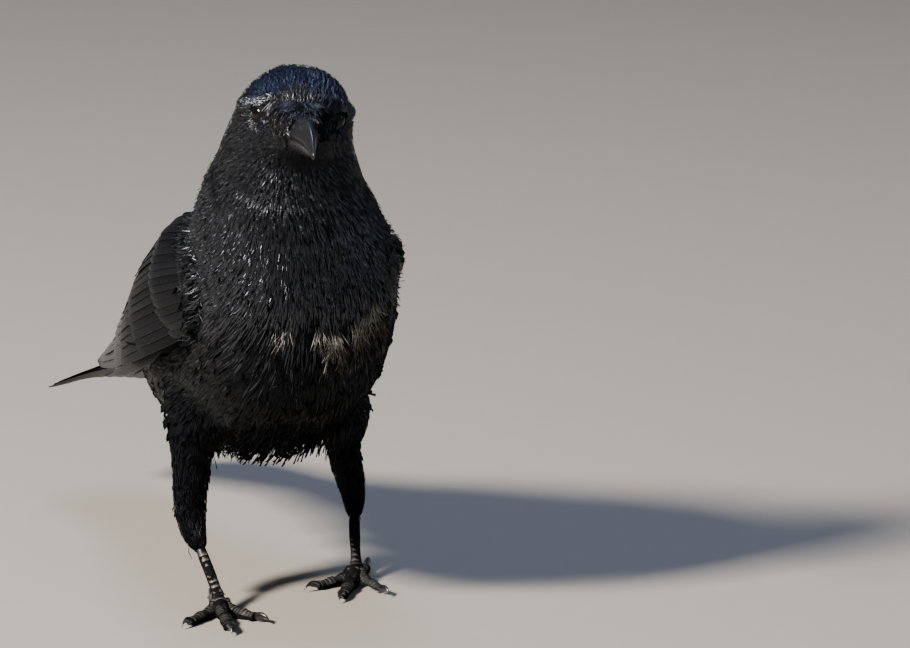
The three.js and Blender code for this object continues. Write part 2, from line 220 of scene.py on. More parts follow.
class CrowPlumage(bpy.types.PropertyGroup):
    """Sizes of the coat"""

    voxel: bpy.props.FloatProperty(
        name="Skin detail",
        description="Size of the skin's faces",
        default=0.0014,
        min=0.0005,
        unit="LENGTH",
    )
    foot_voxel: bpy.props.FloatProperty(
        name="Foot detail",
        description="Size of the faces of the feet",
        default=0.0006,
        min=0.0003,
        unit="LENGTH",
    )
    fullness: bpy.props.FloatProperty(
        name="Fullness",
        description="Depth of the coat against its usual depth",
        default=1.0,
        subtype="FACTOR",
    )
    candidates: bpy.props.IntProperty(
        name="Candidates",
        description="Places tried for a feather's root before thinning",
        default=150000,
    )
    strands: bpy.props.IntProperty(
        name="Loose barbs", description="Number of single barbs that lie over the vanes", default=34000
    )
    seed: bpy.props.IntProperty(name="Seed", description="Start of the random numbers", default=7)


class CrowColours(bpy.types.PropertyGroup):
    """Colours of the bird"""

    plumage: colour_property("Plumage", "Body feathers", "#0a0b0e")
    # The crown's blue base colour is a painted sheen of sky light, besides the blue that its gloss
    # throws back.
    crown: colour_property("Crown", "Small feathers of the head, bluer than the rest", "#070b19")
    sky_gloss: colour_property("Crown gloss", "Tint of the light that the crown throws back", "#8fa9ee")
    gloss: colour_property("Gloss", "Tint of the light that the feathers throw back", "#ccd4e6")
    flight: colour_property("Flight feathers", "Vanes of the wings and the tail", "#121214")
    worn: colour_property("Worn edge", "Bleached edges of the flight feathers", "#4f483c")
    # This pale colour paints the highlight of sunlit, parted feathers on the breast.
    glint_tufts: colour_property("Down", "Pale downy base of the body feathers", "#85827c")
    bill: colour_property("Bill", "Horn of the bill", "#101114")
    foot: colour_property("Foot", "Scaly skin", "#17171a")
    # The pale scute rim is a painted highlight on each scute's raised edge.
    scute_edge: colour_property("Scute edge", "Pale rim of each scute", "#5c5b57")
    claw: colour_property("Claw", "Horn of the claws", "#0e0e10")
    iris: colour_property("Iris", "Ring round the pupil", "#0d0907")
    skin: colour_property("Skin", "Bare skin under the coat", "#08080a")
    lid: colour_property("Eyelid", "Bare skin round the eye", "#060607")


class CrowStudio(bpy.types.PropertyGroup):
    """Camera and light"""

    azimuth: bpy.props.FloatProperty(
        name="Azimuth",
        description="Turn of the view from straight in front",
        default=math.radians(-24),
        subtype="ANGLE",
    )
    elevation: bpy.props.FloatProperty(
        name="Elevation",
        description="Height of the view over the horizon",
        default=math.radians(12),
        subtype="ANGLE",
    )
    distance: bpy.props.FloatProperty(
        name="Distance", description="From the camera to the bird's feet", default=3.0, unit="LENGTH"
    )
    key: bpy.props.FloatProperty(
        name="Key light", description="Power of the main softbox", default=460, unit="POWER"
    )
    floor: colour_property("Floor", "Paper floor", "#85827c")


# ---------------------------------------------------------------- meshes
def finished(name, mesh, material):
    """An object of a mesh in the row frame, ridden on the body, with its material."""
    made = bpy.data.objects.new(name, mesh)
    bpy.context.collection.objects.link(made)
    mesh.materials.append(material)
    mesh.shade_smooth()
    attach(made, "root")
    return made


def mesh_of(name, bm):
    bmesh.ops.recalc_face_normals(bm, faces=bm.faces)
    mesh = bpy.data.meshes.new(name)
    bm.to_mesh(mesh)
    bm.free()
    return mesh


def sleeve(bm, around, along, put):
    """Adds a closed tube to a mesh: put(angle, t) gives each point, and its ends may run to a point."""
    new = bmesh.ops.create_grid(bm, x_segments=around, y_segments=along, size=0.5)["verts"]
    uv = bm.loops.layers.uv.get("Along") or bm.loops.layers.uv.new("Along")
    spots = {v: (v.co.x + 0.5, v.co.y + 0.5) for v in new}
    for face in {f for v in new for f in v.link_faces}:
        for loop in face.loops:
            loop[uv].uv = spots[loop.vert]
    for v in new:
        u, t = spots[v]
        v.co = put(2 * math.pi * u, t)
    levels = [t for _, t in spots.values()]
    rims = [[v for v in new if spots[v][1] == end] for end in (min(levels), max(levels))]
    bmesh.ops.remove_doubles(bm, verts=new, dist=1e-6)
    for rim in rims:
        edges = {e for v in rim if v.is_valid for e in v.link_edges if e.is_boundary}
        if edges:
            bmesh.ops.holes_fill(bm, edges=list(edges))


class Vane:
    """A closed blade of columns by rows, given once and repeated for every feather of its kind.

    Each of its points is kept as a share across, the row it belongs to, a share of the length beyond
    that row, and a rise. Its tip is cut into points as deep as notch."""

    def __init__(self, columns, widths, notch=0.0, thick=0.18, ridge=0.12):
        self.rows = len(widths) - 1
        bm = bmesh.new()
        bmesh.ops.create_grid(bm, x_segments=columns, y_segments=self.rows, size=1)
        under = bmesh.ops.duplicate(bm, geom=bm.faces[:] + bm.verts[:] + bm.edges[:])["geom"]
        below = [g for g in under if isinstance(g, bmesh.types.BMVert)]
        bmesh.ops.reverse_faces(bm, faces=[g for g in under if isinstance(g, bmesh.types.BMFace)])
        for v in below:
            if not v.is_boundary:
                v.co.z = -thick
        for v in bm.verts:
            if v.co.z == 0 and not v.is_boundary:
                v.co.z = ridge * (1 - abs(v.co.x))
        bmesh.ops.remove_doubles(bm, verts=bm.verts, dist=1e-5)
        bm.verts.index_update()
        co = np.array([v.co for v in bm.verts])
        self.faces = [[v.index for v in f.verts] for f in bm.faces]
        bm.free()
        self.row = np.rint((co[:, 1] + 1) / 2 * self.rows).astype(int)
        column = np.rint((co[:, 0] + 1) / 2 * columns).astype(int)
        self.across = co[:, 0] * np.array(widths)[self.row]
        tip = self.row == self.rows
        self.extra = np.where(tip, np.where(column % 2 == 1, 0, -notch) - 0.1 * co[:, 0] ** 2, 0)
        self.rise = co[:, 2]
        self.uv = np.stack([(co[:, 0] + 1) / 2, (co[:, 1] + 1) / 2], 1)


class Bed:
    """Where things grow: a skin with its surface, its unwrap and the part each point belongs to."""

    def __init__(self, skin):
        mesh = skin.data
        mesh.calc_loop_triangles()
        self.points = np.empty((len(mesh.vertices), 3))
        mesh.vertices.foreach_get("co", self.points.ravel())
        self.normals = np.empty_like(self.points)
        mesh.vertex_normals.foreach_get("vector", self.normals.ravel())
        count = len(mesh.loop_triangles)
        self.triangles = np.empty((count, 3), int)
        mesh.loop_triangles.foreach_get("vertices", self.triangles.ravel())
        loops = np.empty((count, 3), int)
        mesh.loop_triangles.foreach_get("loops", loops.ravel())
        uv = np.empty((len(mesh.loops), 2))
        mesh.uv_layers["OFBake"].uv.foreach_get("vector", uv.ravel())
        self.corner_uv = uv[loops]
        self.part = np.empty(len(mesh.vertices), int)
        mesh.attributes["part"].data.foreach_get("value", self.part)
        self.tree = BVHTree.FromPolygons(self.points.tolist(), self.triangles.tolist())
        a, b, c = (self.points[self.triangles[:, k]] for k in range(3))
        self.area = np.linalg.norm(np.cross(b - a, c - a), axis=1) / 2

    def scatter(self, count, rng, nodes):
        """Random places on the skin of some nodes, evenly by area."""
        share = self.area * np.isin(FLESH, nodes)[self.part[self.triangles[:, 0]]]
        chosen = rng.choice(len(share), count, p=share / share.sum())
        u, v = rng.random((2, count))
        flip = u + v > 1
        u[flip], v[flip] = 1 - u[flip], 1 - v[flip]
        weight = np.stack([1 - u - v, u, v], 1)[:, :, None]
        corners = self.triangles[chosen]
        return {
            "co": (self.points[corners] * weight).sum(1),
            "normal": unit((self.normals[corners] * weight).sum(1)),
            "uv": (self.corner_uv[chosen] * weight).sum(1),
            "part": self.part[corners[:, 0]],
        }

    def nearest(self, points):
        """The places on the skin nearest to some points, with the way the skin faces there."""
        found = [self.tree.find_nearest(p) for p in points.tolist()]
        flat = np.array([(*f[0], *f[1]) for f in found])
        return flat[:, :3], flat[:, 3:]

    def uv_at(self, points):
        """Where the skin's own unwrap has the triangles nearest to some points."""
        triangles = [self.tree.find_nearest(p)[2] for p in points.tolist()]
        return self.corner_uv[triangles].mean(1)


def unit(v):
    return v / np.maximum(np.linalg.norm(v, axis=-1, keepdims=True), 1e-12)


def laid_flat(direction, normal):
    """The direction along the surface that a direction points in."""
    return unit(direction - normal * (direction * normal).sum(-1, keepdims=True))


def take(spots, mask):
    """The places that a mask picks."""
    return {key: value[mask] for key, value in spots.items()}


def thinned(spots, spacing, order):
    """Drops places until none is nearer to another than its spacing."""
    tree = KDTree(len(order))
    points = spots["co"].tolist()
    for i, p in enumerate(points):
        tree.insert(p, i)
    tree.balance()
    alive = np.ones(len(order), bool)
    for i in order:
        if alive[i]:
            for _, j, _ in tree.find_range(points[i], spacing[i]):
                alive[j] = False
            alive[i] = True
    return alive


ASTRAY = 2.5 * MM  # how far from the skin a feather's tip may end, its lift aside
CURL = (-0.05, 0.13)  # least and most that the tip of a vane curls up, as a share of its length
ROLL = 0.42  # how far vanes usually lean to either side at the tip, as a share of their half width
CREASE = math.radians(50)  # an edge sharper than this isn't shaded smooth
BAKE_PATCH = 0.003  # how much of the skin's unwrap a feather takes up


def grown(
    name, bed, spots, vane, material, lift, seed, thick=1.0, camber=0.0, curled=0.0, rolled=1.0
):
    """One mesh of many vanes that lie along the skin from their roots.

    spots holds each one's length, half width and the direction it points in, and lift its height over
    the skin at root and at tip. camber arches them across, curled lets their tips curl up and rolled
    lets them lean to either side."""
    rng = np.random.default_rng(seed)
    at, normal, ahead = spots["co"], spots["normal"], spots["flow"]
    step = (spots["length"] / vane.rows)[:, None]
    lines = [(at, ahead, normal)]
    for _ in range(vane.rows):
        guess = at + ahead * step
        found, found_normal = bed.nearest(guess)
        # A vane keeps its own way where the skin falls off under it.
        free = smoothstep(0.3, 0.7, np.linalg.norm(found - guess, axis=1) / step[:, 0])[:, None]
        at = found * (1 - free) + guess * free
        normal = unit(found_normal * (1 - free) + normal * free)
        ahead = laid_flat(ahead, normal)
        lines.append((at, ahead, normal))
    # Those that would run out into the air are left out.
    kept = np.linalg.norm(bed.nearest(at)[0] - at, axis=1) < ASTRAY
    spots, lift = take(spots, kept), [np.asarray(v)[kept] for v in lift]
    at, ahead, normal = (np.stack([line[k][kept] for line in lines], 1)[:, vane.row] for k in range(3))
    side = np.cross(ahead, normal)
    width, length = spots["half_width"][:, None], spots["length"][:, None]
    share = vane.row / vane.rows
    low, high = (np.asarray(v)[:, None] for v in lift)
    height = low + (high - low) * share**0.8 + vane.rise * MM * thick
    height = height - camber * width * vane.across**2
    curl = rng.uniform(*CURL, (kept.sum(), 1)) * curled
    height = height + curl * length * share**2
    roll = rng.normal(0, ROLL, (kept.sum(), 1)) * rolled * vane.across * width * share
    co = at + side * (vane.across * width)[..., None] + ahead * (vane.extra * length)[..., None]
    co = co + normal * (height + roll)[..., None]
    return joined_mesh(name, co, vane, spots, material, rng)


def joined_mesh(name, co, vane, spots, material, rng):
    """One mesh of many copies of a vane, whose points are given copy by copy."""
    count, size = co.shape[:2]
    first = (np.arange(count) * size)[:, None, None]
    faces = (np.array(vane.faces)[None] + first).reshape(-1, len(vane.faces[0]))
    mesh = bpy.data.meshes.new(name)
    mesh.from_pydata(co.reshape(-1, 3).tolist(), [], faces.tolist())
    corner = np.empty(len(mesh.loops), int)
    mesh.loops.foreach_get("vertex_index", corner)
    own = np.tile(vane.uv, (count, 1))
    patch = np.repeat(spots["uv"], size, 0) + (own - 0.5) * BAKE_PATCH
    for layer, values in (("OFBake", patch), ("Vane", own)):
        mesh.uv_layers.new(name=layer).uv.foreach_set("vector", values[corner].ravel())
    tone = np.repeat(spots["tone"] if "tone" in spots else rng.random(count), size)
    mesh.attributes.new("tone", "FLOAT", "POINT").data.foreach_set("value", tone)
    made = finished(name, mesh, material)
    mesh.set_sharp_from_angle(angle=CREASE)
    return made


# ---------------------------------------------------------------- materials
KERATIN_IOR, HORN_IOR, CORNEA_IOR = 1.56, 1.54, 1.38
RELIEF = 0.2 * MM  # how deep the barbs and the growth lines are drawn


def plug(tree, node, inputs):
    """Sets a node's inputs, each to a value, to an output or to the first output of another node."""
    for socket, value in inputs.items():
        if isinstance(value, bpy.types.Node):
            value = value.outputs[0]
        if isinstance(value, bpy.types.NodeSocket):
            tree.links.new(value, node.inputs[socket])
        else:
            node.inputs[socket].default_value = value


def add(tree, kind, inputs=None, **settings):
    """Adds a shader node of some kind with its settings and its inputs."""
    made = tree.nodes.new(f"ShaderNode{kind}")
    for key, value in settings.items():
        setattr(made, key, value)
    plug(tree, made, inputs or {})
    return made


def blank(name):
    material = bpy.data.materials.new(name)
    material.use_nodes = True
    tree = material.node_tree
    shader = next(n for n in tree.nodes if n.type == "BSDF_PRINCIPLED")
    return material, tree, shader


def opaque(colour):
    return (*colour, 1.0)


def vane_keratin(name, colour, barbs, bump, roughness, gloss, worn=0.0, tint=None):
    """Feather vanes: keratin barbs side by side, which give black a satin gloss in fine slanting lines.

    barbs is how many of them stand along the vane; they are drawn a few times coarser than real ones.
    worn is how far the vane's rim and tip are bleached."""
    colours = bpy.context.scene.crow_colours
    material, tree, shader = blank(name)
    spot = add(tree, "UVMap", uv_map="Vane")
    split = add(tree, "SeparateXYZ", {0: spot})
    up_vane = split.outputs[1]
    from_middle = add(tree, "Math", {0: split, 1: 0.5}, operation="SUBTRACT")
    outward = add(tree, "Math", {0: from_middle}, operation="ABSOLUTE")
    slanted = add(tree, "Math", {0: outward, 1: -0.9, 2: up_vane}, operation="MULTIPLY_ADD")
    ragged = add(tree, "TexNoise", {"Vector": spot, "Scale": 9.0, "Detail": 3.0})
    phase = add(tree, "Math", {0: ragged, 1: 0.05, 2: slanted}, operation="MULTIPLY_ADD")
    turns = add(tree, "Math", {0: phase, 1: barbs * 2 * math.pi}, operation="MULTIPLY")
    wave = add(tree, "Math", {0: turns}, operation="SINE")
    shade = add(tree, "MapRange", {"Value": wave, "From Min": -1.0, "To Min": 0.75, "To Max": 1.3})
    tone = add(tree, "Attribute", attribute_name="tone")
    vary = add(tree, "MapRange", {"Value": tone.outputs["Fac"], "To Min": 0.7, "To Max": 1.35})
    both = add(tree, "Math", {0: shade, 1: vary}, operation="MULTIPLY")
    lit = add(tree, "VectorMath", {0: colour, "Scale": both}, operation="SCALE")
    rim = add(tree, "MapRange", {"Value": outward, "From Min": 0.44, "From Max": 0.5})
    tip = add(tree, "MapRange", {"Value": up_vane, "From Min": 0.955, "From Max": 1.0})
    edge = add(tree, "Math", {0: rim, 1: tip}, operation="MAXIMUM")
    bleached = add(tree, "Math", {0: edge, 1: worn}, operation="MULTIPLY")
    mixed = add(
        tree, "Mix", {"Factor": bleached, "A": lit, "B": opaque(colours.worn)}, data_type="RGBA"
    )
    low, high = roughness + 0.1, roughness - 0.05
    rough = add(tree, "MapRange", {"Value": wave, "From Min": -1.0, "To Min": low, "To Max": high})
    relief = add(tree, "Bump", {"Height": wave, "Strength": bump, "Distance": RELIEF})
    # The gloss spreads across the vane, as it does on fibres that run along it.
    fibres = add(tree, "Tangent", direction_type="UV_MAP", uv_map="Vane")
    plug(tree, shader, {
        "Base Color": mixed.outputs["Result"],
        "Roughness": rough,
        "Normal": relief,
        "Tangent": fibres,
        "Anisotropic": 0.9,
        "IOR": KERATIN_IOR,
        "Specular IOR Level": gloss,
        "Specular Tint": opaque(tint or colours.gloss),
    })
    return material


def bare_skin(name, colour, roughness, gloss):
    """Thin dark skin under the plumage and round the eye: finely pebbled."""
    material, tree, shader = blank(name)
    at = add(tree, "TexCoord")
    pebbles = add(tree, "TexVoronoi", {"Vector": at.outputs["Object"], "Scale": 1 / (0.9 * MM)})
    height = pebbles.outputs["Distance"]
    shade = add(tree, "MapRange", {"Value": height, "To Min": 1.35, "To Max": 0.7})
    lit = add(tree, "VectorMath", {0: colour, "Scale": shade}, operation="SCALE")
    relief = add(tree, "Bump", {"Height": height, "Strength": 0.5, "Distance": 0.00015}, invert=True)
    plug(tree, shader, {
        "Base Color": lit, "Normal": relief, "Roughness": roughness, "Specular IOR Level": gloss,
    })
    return material


def horn(name, colour, roughness, grain):
    """Solid keratin horn: polished by use, with faint growth lines and scuffs. grain is how many lines
    there are from root to tip."""
    material, tree, shader = blank(name)
    spot = add(tree, "UVMap", uv_map="Along")
    at = add(tree, "TexCoord")
    stretch = add(tree, "Mapping", {"Vector": spot, "Scale": (14.0, grain, 1.0)})
    lines = add(tree, "TexNoise", {"Vector": stretch, "Scale": 1.0, "Detail": 4.0})
    cloud = add(tree, "TexNoise", {"Vector": at.outputs["Object"], "Scale": 1 / (5 * MM), "Detail": 5.0})
    shade = add(tree, "MapRange", {"Value": cloud, "To Min": 0.55, "To Max": 1.7})
    lit = add(tree, "VectorMath", {0: colour, "Scale": shade}, operation="SCALE")
    low, high = roughness - 0.08, roughness + 0.16
    rough = add(tree, "MapRange", {"Value": lines, "To Min": low, "To Max": high})
    relief = add(tree, "Bump", {"Height": lines, "Strength": 0.25, "Distance": RELIEF})
    plug(tree, shader, {
        "Base Color": lit,
        "Roughness": rough,
        "Normal": relief,
        "IOR": HORN_IOR,
        "Coat Weight": 0.3,
        "Coat Roughness": 0.12,
    })
    return material


def scute_horn(name, colour, edge):
    """Scutes of the foot: satin plates of horny skin whose raised free rims are painted pale as
    highlight.
    """
    material, tree, shader = blank(name)
    spot = add(tree, "UVMap", uv_map="Vane")
    split = add(tree, "SeparateXYZ", {0: spot})
    at = add(tree, "TexCoord")
    cloud = add(
        tree, "TexNoise", {"Vector": at.outputs["Object"], "Scale": 1 / (1.2 * MM), "Detail": 4.0}
    )
    rim = add(tree, "MapRange", {"Value": split.outputs[1], "From Min": 0.55, "From Max": 0.85})
    spread = {"From Min": 0.35, "From Max": 0.65, "To Min": 0.2, "To Max": 0.8}
    patchy = add(tree, "MapRange", {"Value": cloud, **spread})
    # The pale rim is a painted highlight, broken up in patches by the noise.
    rim_highlight = add(tree, "Math", {0: rim, 1: patchy}, operation="MULTIPLY")
    mixed = add(tree, "Mix", {"Factor": rim_highlight, "A": opaque(colour), "B": opaque(edge)}, data_type="RGBA")
    relief = add(tree, "Bump", {"Height": cloud, "Strength": 0.3, "Distance": RELIEF / 2})
    plug(tree, shader, {
        "Base Color": mixed.outputs["Result"],
        "Normal": relief,
        "Roughness": 0.42,
        "Specular IOR Level": 0.3,
        "IOR": HORN_IOR,
    })
    return material


def wet_eye(name, iris):
    """Eye under its cornea: a nearly black pupil and iris behind a wet, mirror-smooth surface."""
    material, tree, shader = blank(name)
    off_axis = add(tree, "Attribute", attribute_name="off_axis")
    ring = add(tree, "MapRange", {"Value": off_axis.outputs["Fac"], "From Min": 0.40, "From Max": 0.46})
    pupil = (0.002, 0.002, 0.002)
    mixed = add(tree, "Mix", {"Factor": ring, "A": opaque(pupil), "B": opaque(iris)}, data_type="RGBA")
    plug(tree, shader, {
        "Base Color": mixed.outputs["Result"],
        "Roughness": 0.03,
        "Specular IOR Level": 0.3,
        "IOR": CORNEA_IOR,
    })
    return material


def paper(name, colour):
    """Seamless paper floor: matt, faintly fibrous."""
    material, tree, shader = blank(name)
    at = add(tree, "TexCoord")
    fibre = add(tree, "TexNoise", {"Vector": at.outputs["Object"], "Scale": 60.0, "Detail": 4.0})
    shade = add(tree, "MapRange", {"Value": fibre, "To Min": 0.97, "To Max": 1.03})
    lit = add(tree, "VectorMath", {0: colour, "Scale": shade}, operation="SCALE")
    plug(tree, shader, {"Base Color": lit, "Roughness": 0.9})
    return material


# ---------------------------------------------------------------- the lie and the size of the plumage
PLUMED = (
    "head", "neck", "trunk", "rump",
    "wing_left_coverts", "wing_right_coverts", "shin_left", "shin_right",
)
FEET_NODES = [f"tarsus_{s}" for s in LEGS] + [f"toe_{s}_{t}" for s in LEGS for t in TOES]
FLESH = [*PLUMED, *FEET_NODES]

# Lines that feathers follow over the head, in the head's own frame, from the bill backwards.
HEAD_LINES = [
    [(0, 24, 20), (0, 10, 34), (0, -8, 40), (0, -28, 26)],
    [(14, 24, 12), (24, 6, 20), (30, -10, 16), (20, -30, 8)],
    [(-14, 24, 12), (-24, 6, 20), (-30, -10, 16), (-20, -30, 8)],
    [(12, 22, -8), (22, 4, -14), (28, -12, -22)],
    [(-12, 22, -8), (-22, 4, -14), (-28, -12, -22)],
    [(0, 24, -10), (0, 8, -20), (0, -6, -30)],
]
# The same over the rest of the bird: back, breast and belly, flanks.
BODY_LINES = [
    SPINE,
    [
        (-22, 90, 238), (-16, 94, 214), (-12, 90, 180), (-9, 70, 140),
        (-8, 30, 108), (-8, -30, 92), (-7, -110, 98),
    ],
    [(8, 72, 240), (24, 74, 206), (38, 56, 176), (44, 10, 140), (40, -50, 118), (12, -130, 112)],
    [(-54, 72, 240), (-50, 74, 206), (-56, 56, 176), (-62, 10, 140), (-54, -50, 118), (-26, -130, 112)],
]


class Lie:
    """The direction that feathers point in at any place, blended from the lines they follow."""

    def __init__(self, lines, step=0.006):
        samples = []
        for line in lines:
            for a, b in zip(line, line[1:]):
                pieces = max(int((b - a).length / step), 1)
                samples += [(a.lerp(b, (k + 0.5) / pieces), (b - a).normalized()) for k in range(pieces)]
        self.at = np.array([s[0] for s in samples])
        self.ahead = np.array([s[1] for s in samples])

    def __call__(self, points, reach=0.02):
        ahead = np.empty_like(points)
        for batch in np.array_split(np.arange(len(points)), len(points) // 2000 + 1):
            gap = ((points[batch, None] - self.at[None]) ** 2).sum(2)
            weight = np.exp(-(gap - gap.min(1, keepdims=True)) / (2 * reach**2))
            ahead[batch] = unit(weight @ self.ahead)
        return ahead


def plumage_lie():
    """The lie over the whole bird, with the wings and the legs."""
    lines = [[in_head(*p) for p in line] for line in HEAD_LINES]
    lines += [[place(*p) for p in line] for line in BODY_LINES]
    for mirror in (1, -1):
        lines += [[wing_point(mirror, s / 8, r, 4) for s in range(8)] for r in (0.1, 0.5, 0.9)]
    for leg in LEGS.values():
        knee, hock, ball = (Vector(leg[k]) for k in ("knee", "hock", "ball"))
        inside = Vector((knee.x, knee.y + 6, knee.z + 16))
        for side, ahead in ((0, 16), (0, -16), (16, 0), (-16, 0)):
            shift = Vector((side, ahead, 0))
            down_leg = (inside + shift, knee + shift * 0.8, hock + shift * 0.4, ball)
            lines.append([place(*p) for p in down_leg])
    return Lie(lines)


BILL_BASE = in_head(0, BILL_FROM, 4)
# Over the distance from the bill's base, in millimetres: the length of a feather, its half width, the
# space between roots and the depth of the coat.
COAT = [
    (0, 3.2, 0.6, 0.8, 0.5),
    (20, 5.0, 0.95, 1.05, 1.2),
    (45, 9.0, 1.7, 1.7, 2.6),
    (70, 14.0, 2.6, 2.4, 4.5),
    (110, 19.0, 3.6, 3.1, 6.0),
    (170, 24.0, 4.6, 3.8, 7.0),
    (400, 28.0, 5.4, 4.4, 7.0),
]
# The same over the height above the ground on the shins.
SHIN_COAT = [
    (28, 5.0, 1.0, 1.0, 0.8),
    (45, 8.0, 1.3, 1.4, 1.4),
    (70, 14.0, 2.0, 2.2, 3.0),
    (100, 22.0, 3.6, 3.6, 5.0),
]
# The same over the distance behind the wrist on the shoulder and the coverts.
WING_COAT = [
    (0, 6.5, 1.9, 1.7, 1.2),
    (50, 11.0, 3.2, 2.6, 1.8),
    (90, 22.0, 5.6, 5.0, 2.2),
    (150, 30.0, 6.5, 6.0, 2.2),
]


def coat_at(points, part):
    """Length, half width, spacing and depth of the coat at each of an array of places, in metres."""
    ways = {
        "shin": (SHIN_COAT, (points[:, 2] - FEET.z) / MM),
        "wing": (WING_COAT, (points[:, 1] - place(0, WING_LOW[0][1], 0).y) / MM),
        "": (COAT, np.linalg.norm(points - np.array(BILL_BASE), axis=1) / MM),
    }
    sizes = np.zeros((4, len(points)))
    for start, (table, along) in ways.items():
        rows = np.array(table)
        mine = on_part(part, start)
        for k in range(4):
            sizes[k, mine] = np.interp(along[mine], rows[:, 0], rows[:, k + 1]) * MM
    return sizes


def on_part(part, start):
    """Which places belong to the nodes whose names begin so, or to the rest of the body."""
    names = np.array(FLESH)[part]
    if start:
        return np.char.startswith(names, start)
    return ~np.char.startswith(names, "shin") & ~np.char.startswith(names, "wing")


# ---------------------------------------------------------------- the skin
SWELL = 0.35 * MM  # how much solids are swollen before they are fused, so that they meet
# How often the fused body is smoothed, how often again once it is drawn in, and how often the feet.
BODY_SMOOTHINGS, DRAWN_IN_SMOOTHINGS, FOOT_SMOOTHINGS = 24, 3, 4


def merged_copy(bm, node, swell):
    """Adds a merged and slightly swollen copy of a node's solid to a mesh."""
    start = len(bm.verts)
    bm.from_mesh(NODES[node].data)
    bm.verts.ensure_lookup_table()
    new = bm.verts[start:]
    bmesh.ops.transform(bm, matrix=NODES[node].matrix_world, verts=new)
    bmesh.ops.remove_doubles(bm, verts=new, dist=1e-5)
    new = [v for v in new if v.is_valid]
    bmesh.ops.recalc_face_normals(bm, faces=list({f for v in new for f in v.link_faces}))
    bm.normal_update()
    for v in new:
        v.co += v.normal * swell


def nearest_part(points):
    """The index in FLESH of the node whose surface is nearest to each place."""
    gaps = []
    for node in FLESH:
        bm = bmesh.new()
        merged_copy(bm, node, 0)
        tree = BVHTree.FromBMesh(bm)
        bm.free()
        gaps.append([tree.find_nearest(p)[3] for p in points])
    return np.argmin(np.array(gaps), axis=0)


def fused(nodes, voxel):
    """One closed mesh round copies of some nodes."""
    bm = bmesh.new()
    for node in nodes:
        merged_copy(bm, node, SWELL)
    loose = bpy.data.objects.new("loose", mesh_of("loose", bm))
    bpy.context.collection.objects.link(loose)
    remesh = loose.modifiers.new("joined", "REMESH")
    remesh.mode, remesh.voxel_size = "VOXEL", voxel
    joined = loose.evaluated_get(bpy.context.evaluated_depsgraph_get())
    mesh = bpy.data.meshes.new_from_object(joined)
    bpy.data.objects.remove(loose)
    return mesh


def smoothed(bm, verts, times):
    all_axes = {"use_axis_x": True, "use_axis_y": True, "use_axis_z": True}
    for _ in range(times):
        bmesh.ops.smooth_vert(bm, verts=verts, factor=0.5, **all_axes)


# The brow is a ridge over the eyes and across the forehead, in the head's own frame.
BROW = [
    (28, 2, 16), (21.5, 15, 17.5), (11, 22, 21.5), (0, 24, 23.5),
    (-11, 22, 21.5), (-21.5, 15, 17.5), (-28, 2, 16),
]
BROW_HEIGHT, BROW_WIDTH = 3.4, 2.2
# Where the skin turns into a plug inside the bill, the height of the bill's middle there, the share of
# the skin's length and height that the plug keeps, and over how far it slims to that height.
PLUG_FROM, PLUG_UP = 39, 3
PLUG_LENGTH, PLUG_HEIGHT, PLUG_SLIMS_OVER = 0.12, (0.75, 0.2), 40


def head_local(points):
    """Places in the head's own frame, in millimetres."""
    inverse = np.array(HEAD_FRAME.inverted())
    return ((points - np.array(FEET)) / MM) @ inverse[:3, :3].T + inverse[:3, 3]


def brow_share(points):
    """How much each place belongs to the ridge of the brow."""
    line = np.array([in_head(*spline(BROW, k / 40)) for k in range(41)])
    gap = np.sqrt(((points[:, None] - line[None]) ** 2).sum(2).min(1)) / MM
    return np.exp(-((gap / BROW_WIDTH) ** 2) / 2)


class CROW_OT_skin(bpy.types.Operator):
    """Builds the bare skin under the coat, with its unwrap"""

    bl_idname = "crow.skin"
    bl_label = "Skin"

    def execute(self, context):
        settings = context.scene.crow_plumage
        bm = bmesh.new()
        filled = ("eye_left", "eye_right", "bill_upper", "bill_lower")
        bm.from_mesh(fused([*PLUMED, *filled], settings.voxel))
        clothed = bm.verts[:]
        smoothed(bm, clothed, BODY_SMOOTHINGS)
        bm.normal_update()
        points = np.array([v.co for v in clothed])
        depth = coat_at(points, nearest_part(points.tolist()))[3] * settings.fullness
        depth -= brow_share(points) * BROW_HEIGHT * MM
        for v, inwards in zip(clothed, depth):
            v.co -= v.normal * inwards
            # The skin runs on into the horn of the bill as a short plug.
            side, back, up = head_local(np.array([v.co]))[0]
            past = -back - PLUG_FROM
            if past > 0:
                slim = lerp(*PLUG_HEIGHT, clamp(past / PLUG_SLIMS_OVER))
                v.co = in_head(side * slim, PLUG_FROM + past * PLUG_LENGTH, lerp(PLUG_UP, up, slim))
        smoothed(bm, clothed, DRAWN_IN_SMOOTHINGS)
        bm.from_mesh(fused(FEET_NODES, settings.foot_voxel))
        bm.verts.ensure_lookup_table()
        feet = bm.verts[len(clothed) :]
        smoothed(bm, feet, FOOT_SMOOTHINGS)
        for v in feet:
            v.co.z = max(v.co.z, FEET.z)
        bare = bare_skin("skin", context.scene.crow_colours.skin, 0.8, 0.05)
        skin = finished("crow_skin", mesh_of("crow_skin", bm), bare)
        mesh = skin.data
        points = np.array([v.co for v in mesh.vertices])
        part = nearest_part(points.tolist())
        mesh.attributes.new("part", "INT", "POINT").data.foreach_set("value", part)
        mesh.uv_layers.new(name="OFBake")
        skin.select_set(True)
        context.view_layer.objects.active = skin
        bpy.ops.object.mode_set(mode="EDIT")
        bpy.ops.mesh.select_all(action="SELECT")
        bpy.ops.uv.smart_project(angle_limit=math.radians(66), island_margin=0.003)
        bpy.ops.object.mode_set(mode="OBJECT")
        skin.select_set(False)
        for node in FLESH:
            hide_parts(node)
        return {"FINISHED"}


def skin_bed():
    skin = bpy.data.objects.get("crow_skin")
    if not skin:
        raise RuntimeError("The skin has to be built before anything grows on it.")
    return Bed(skin)


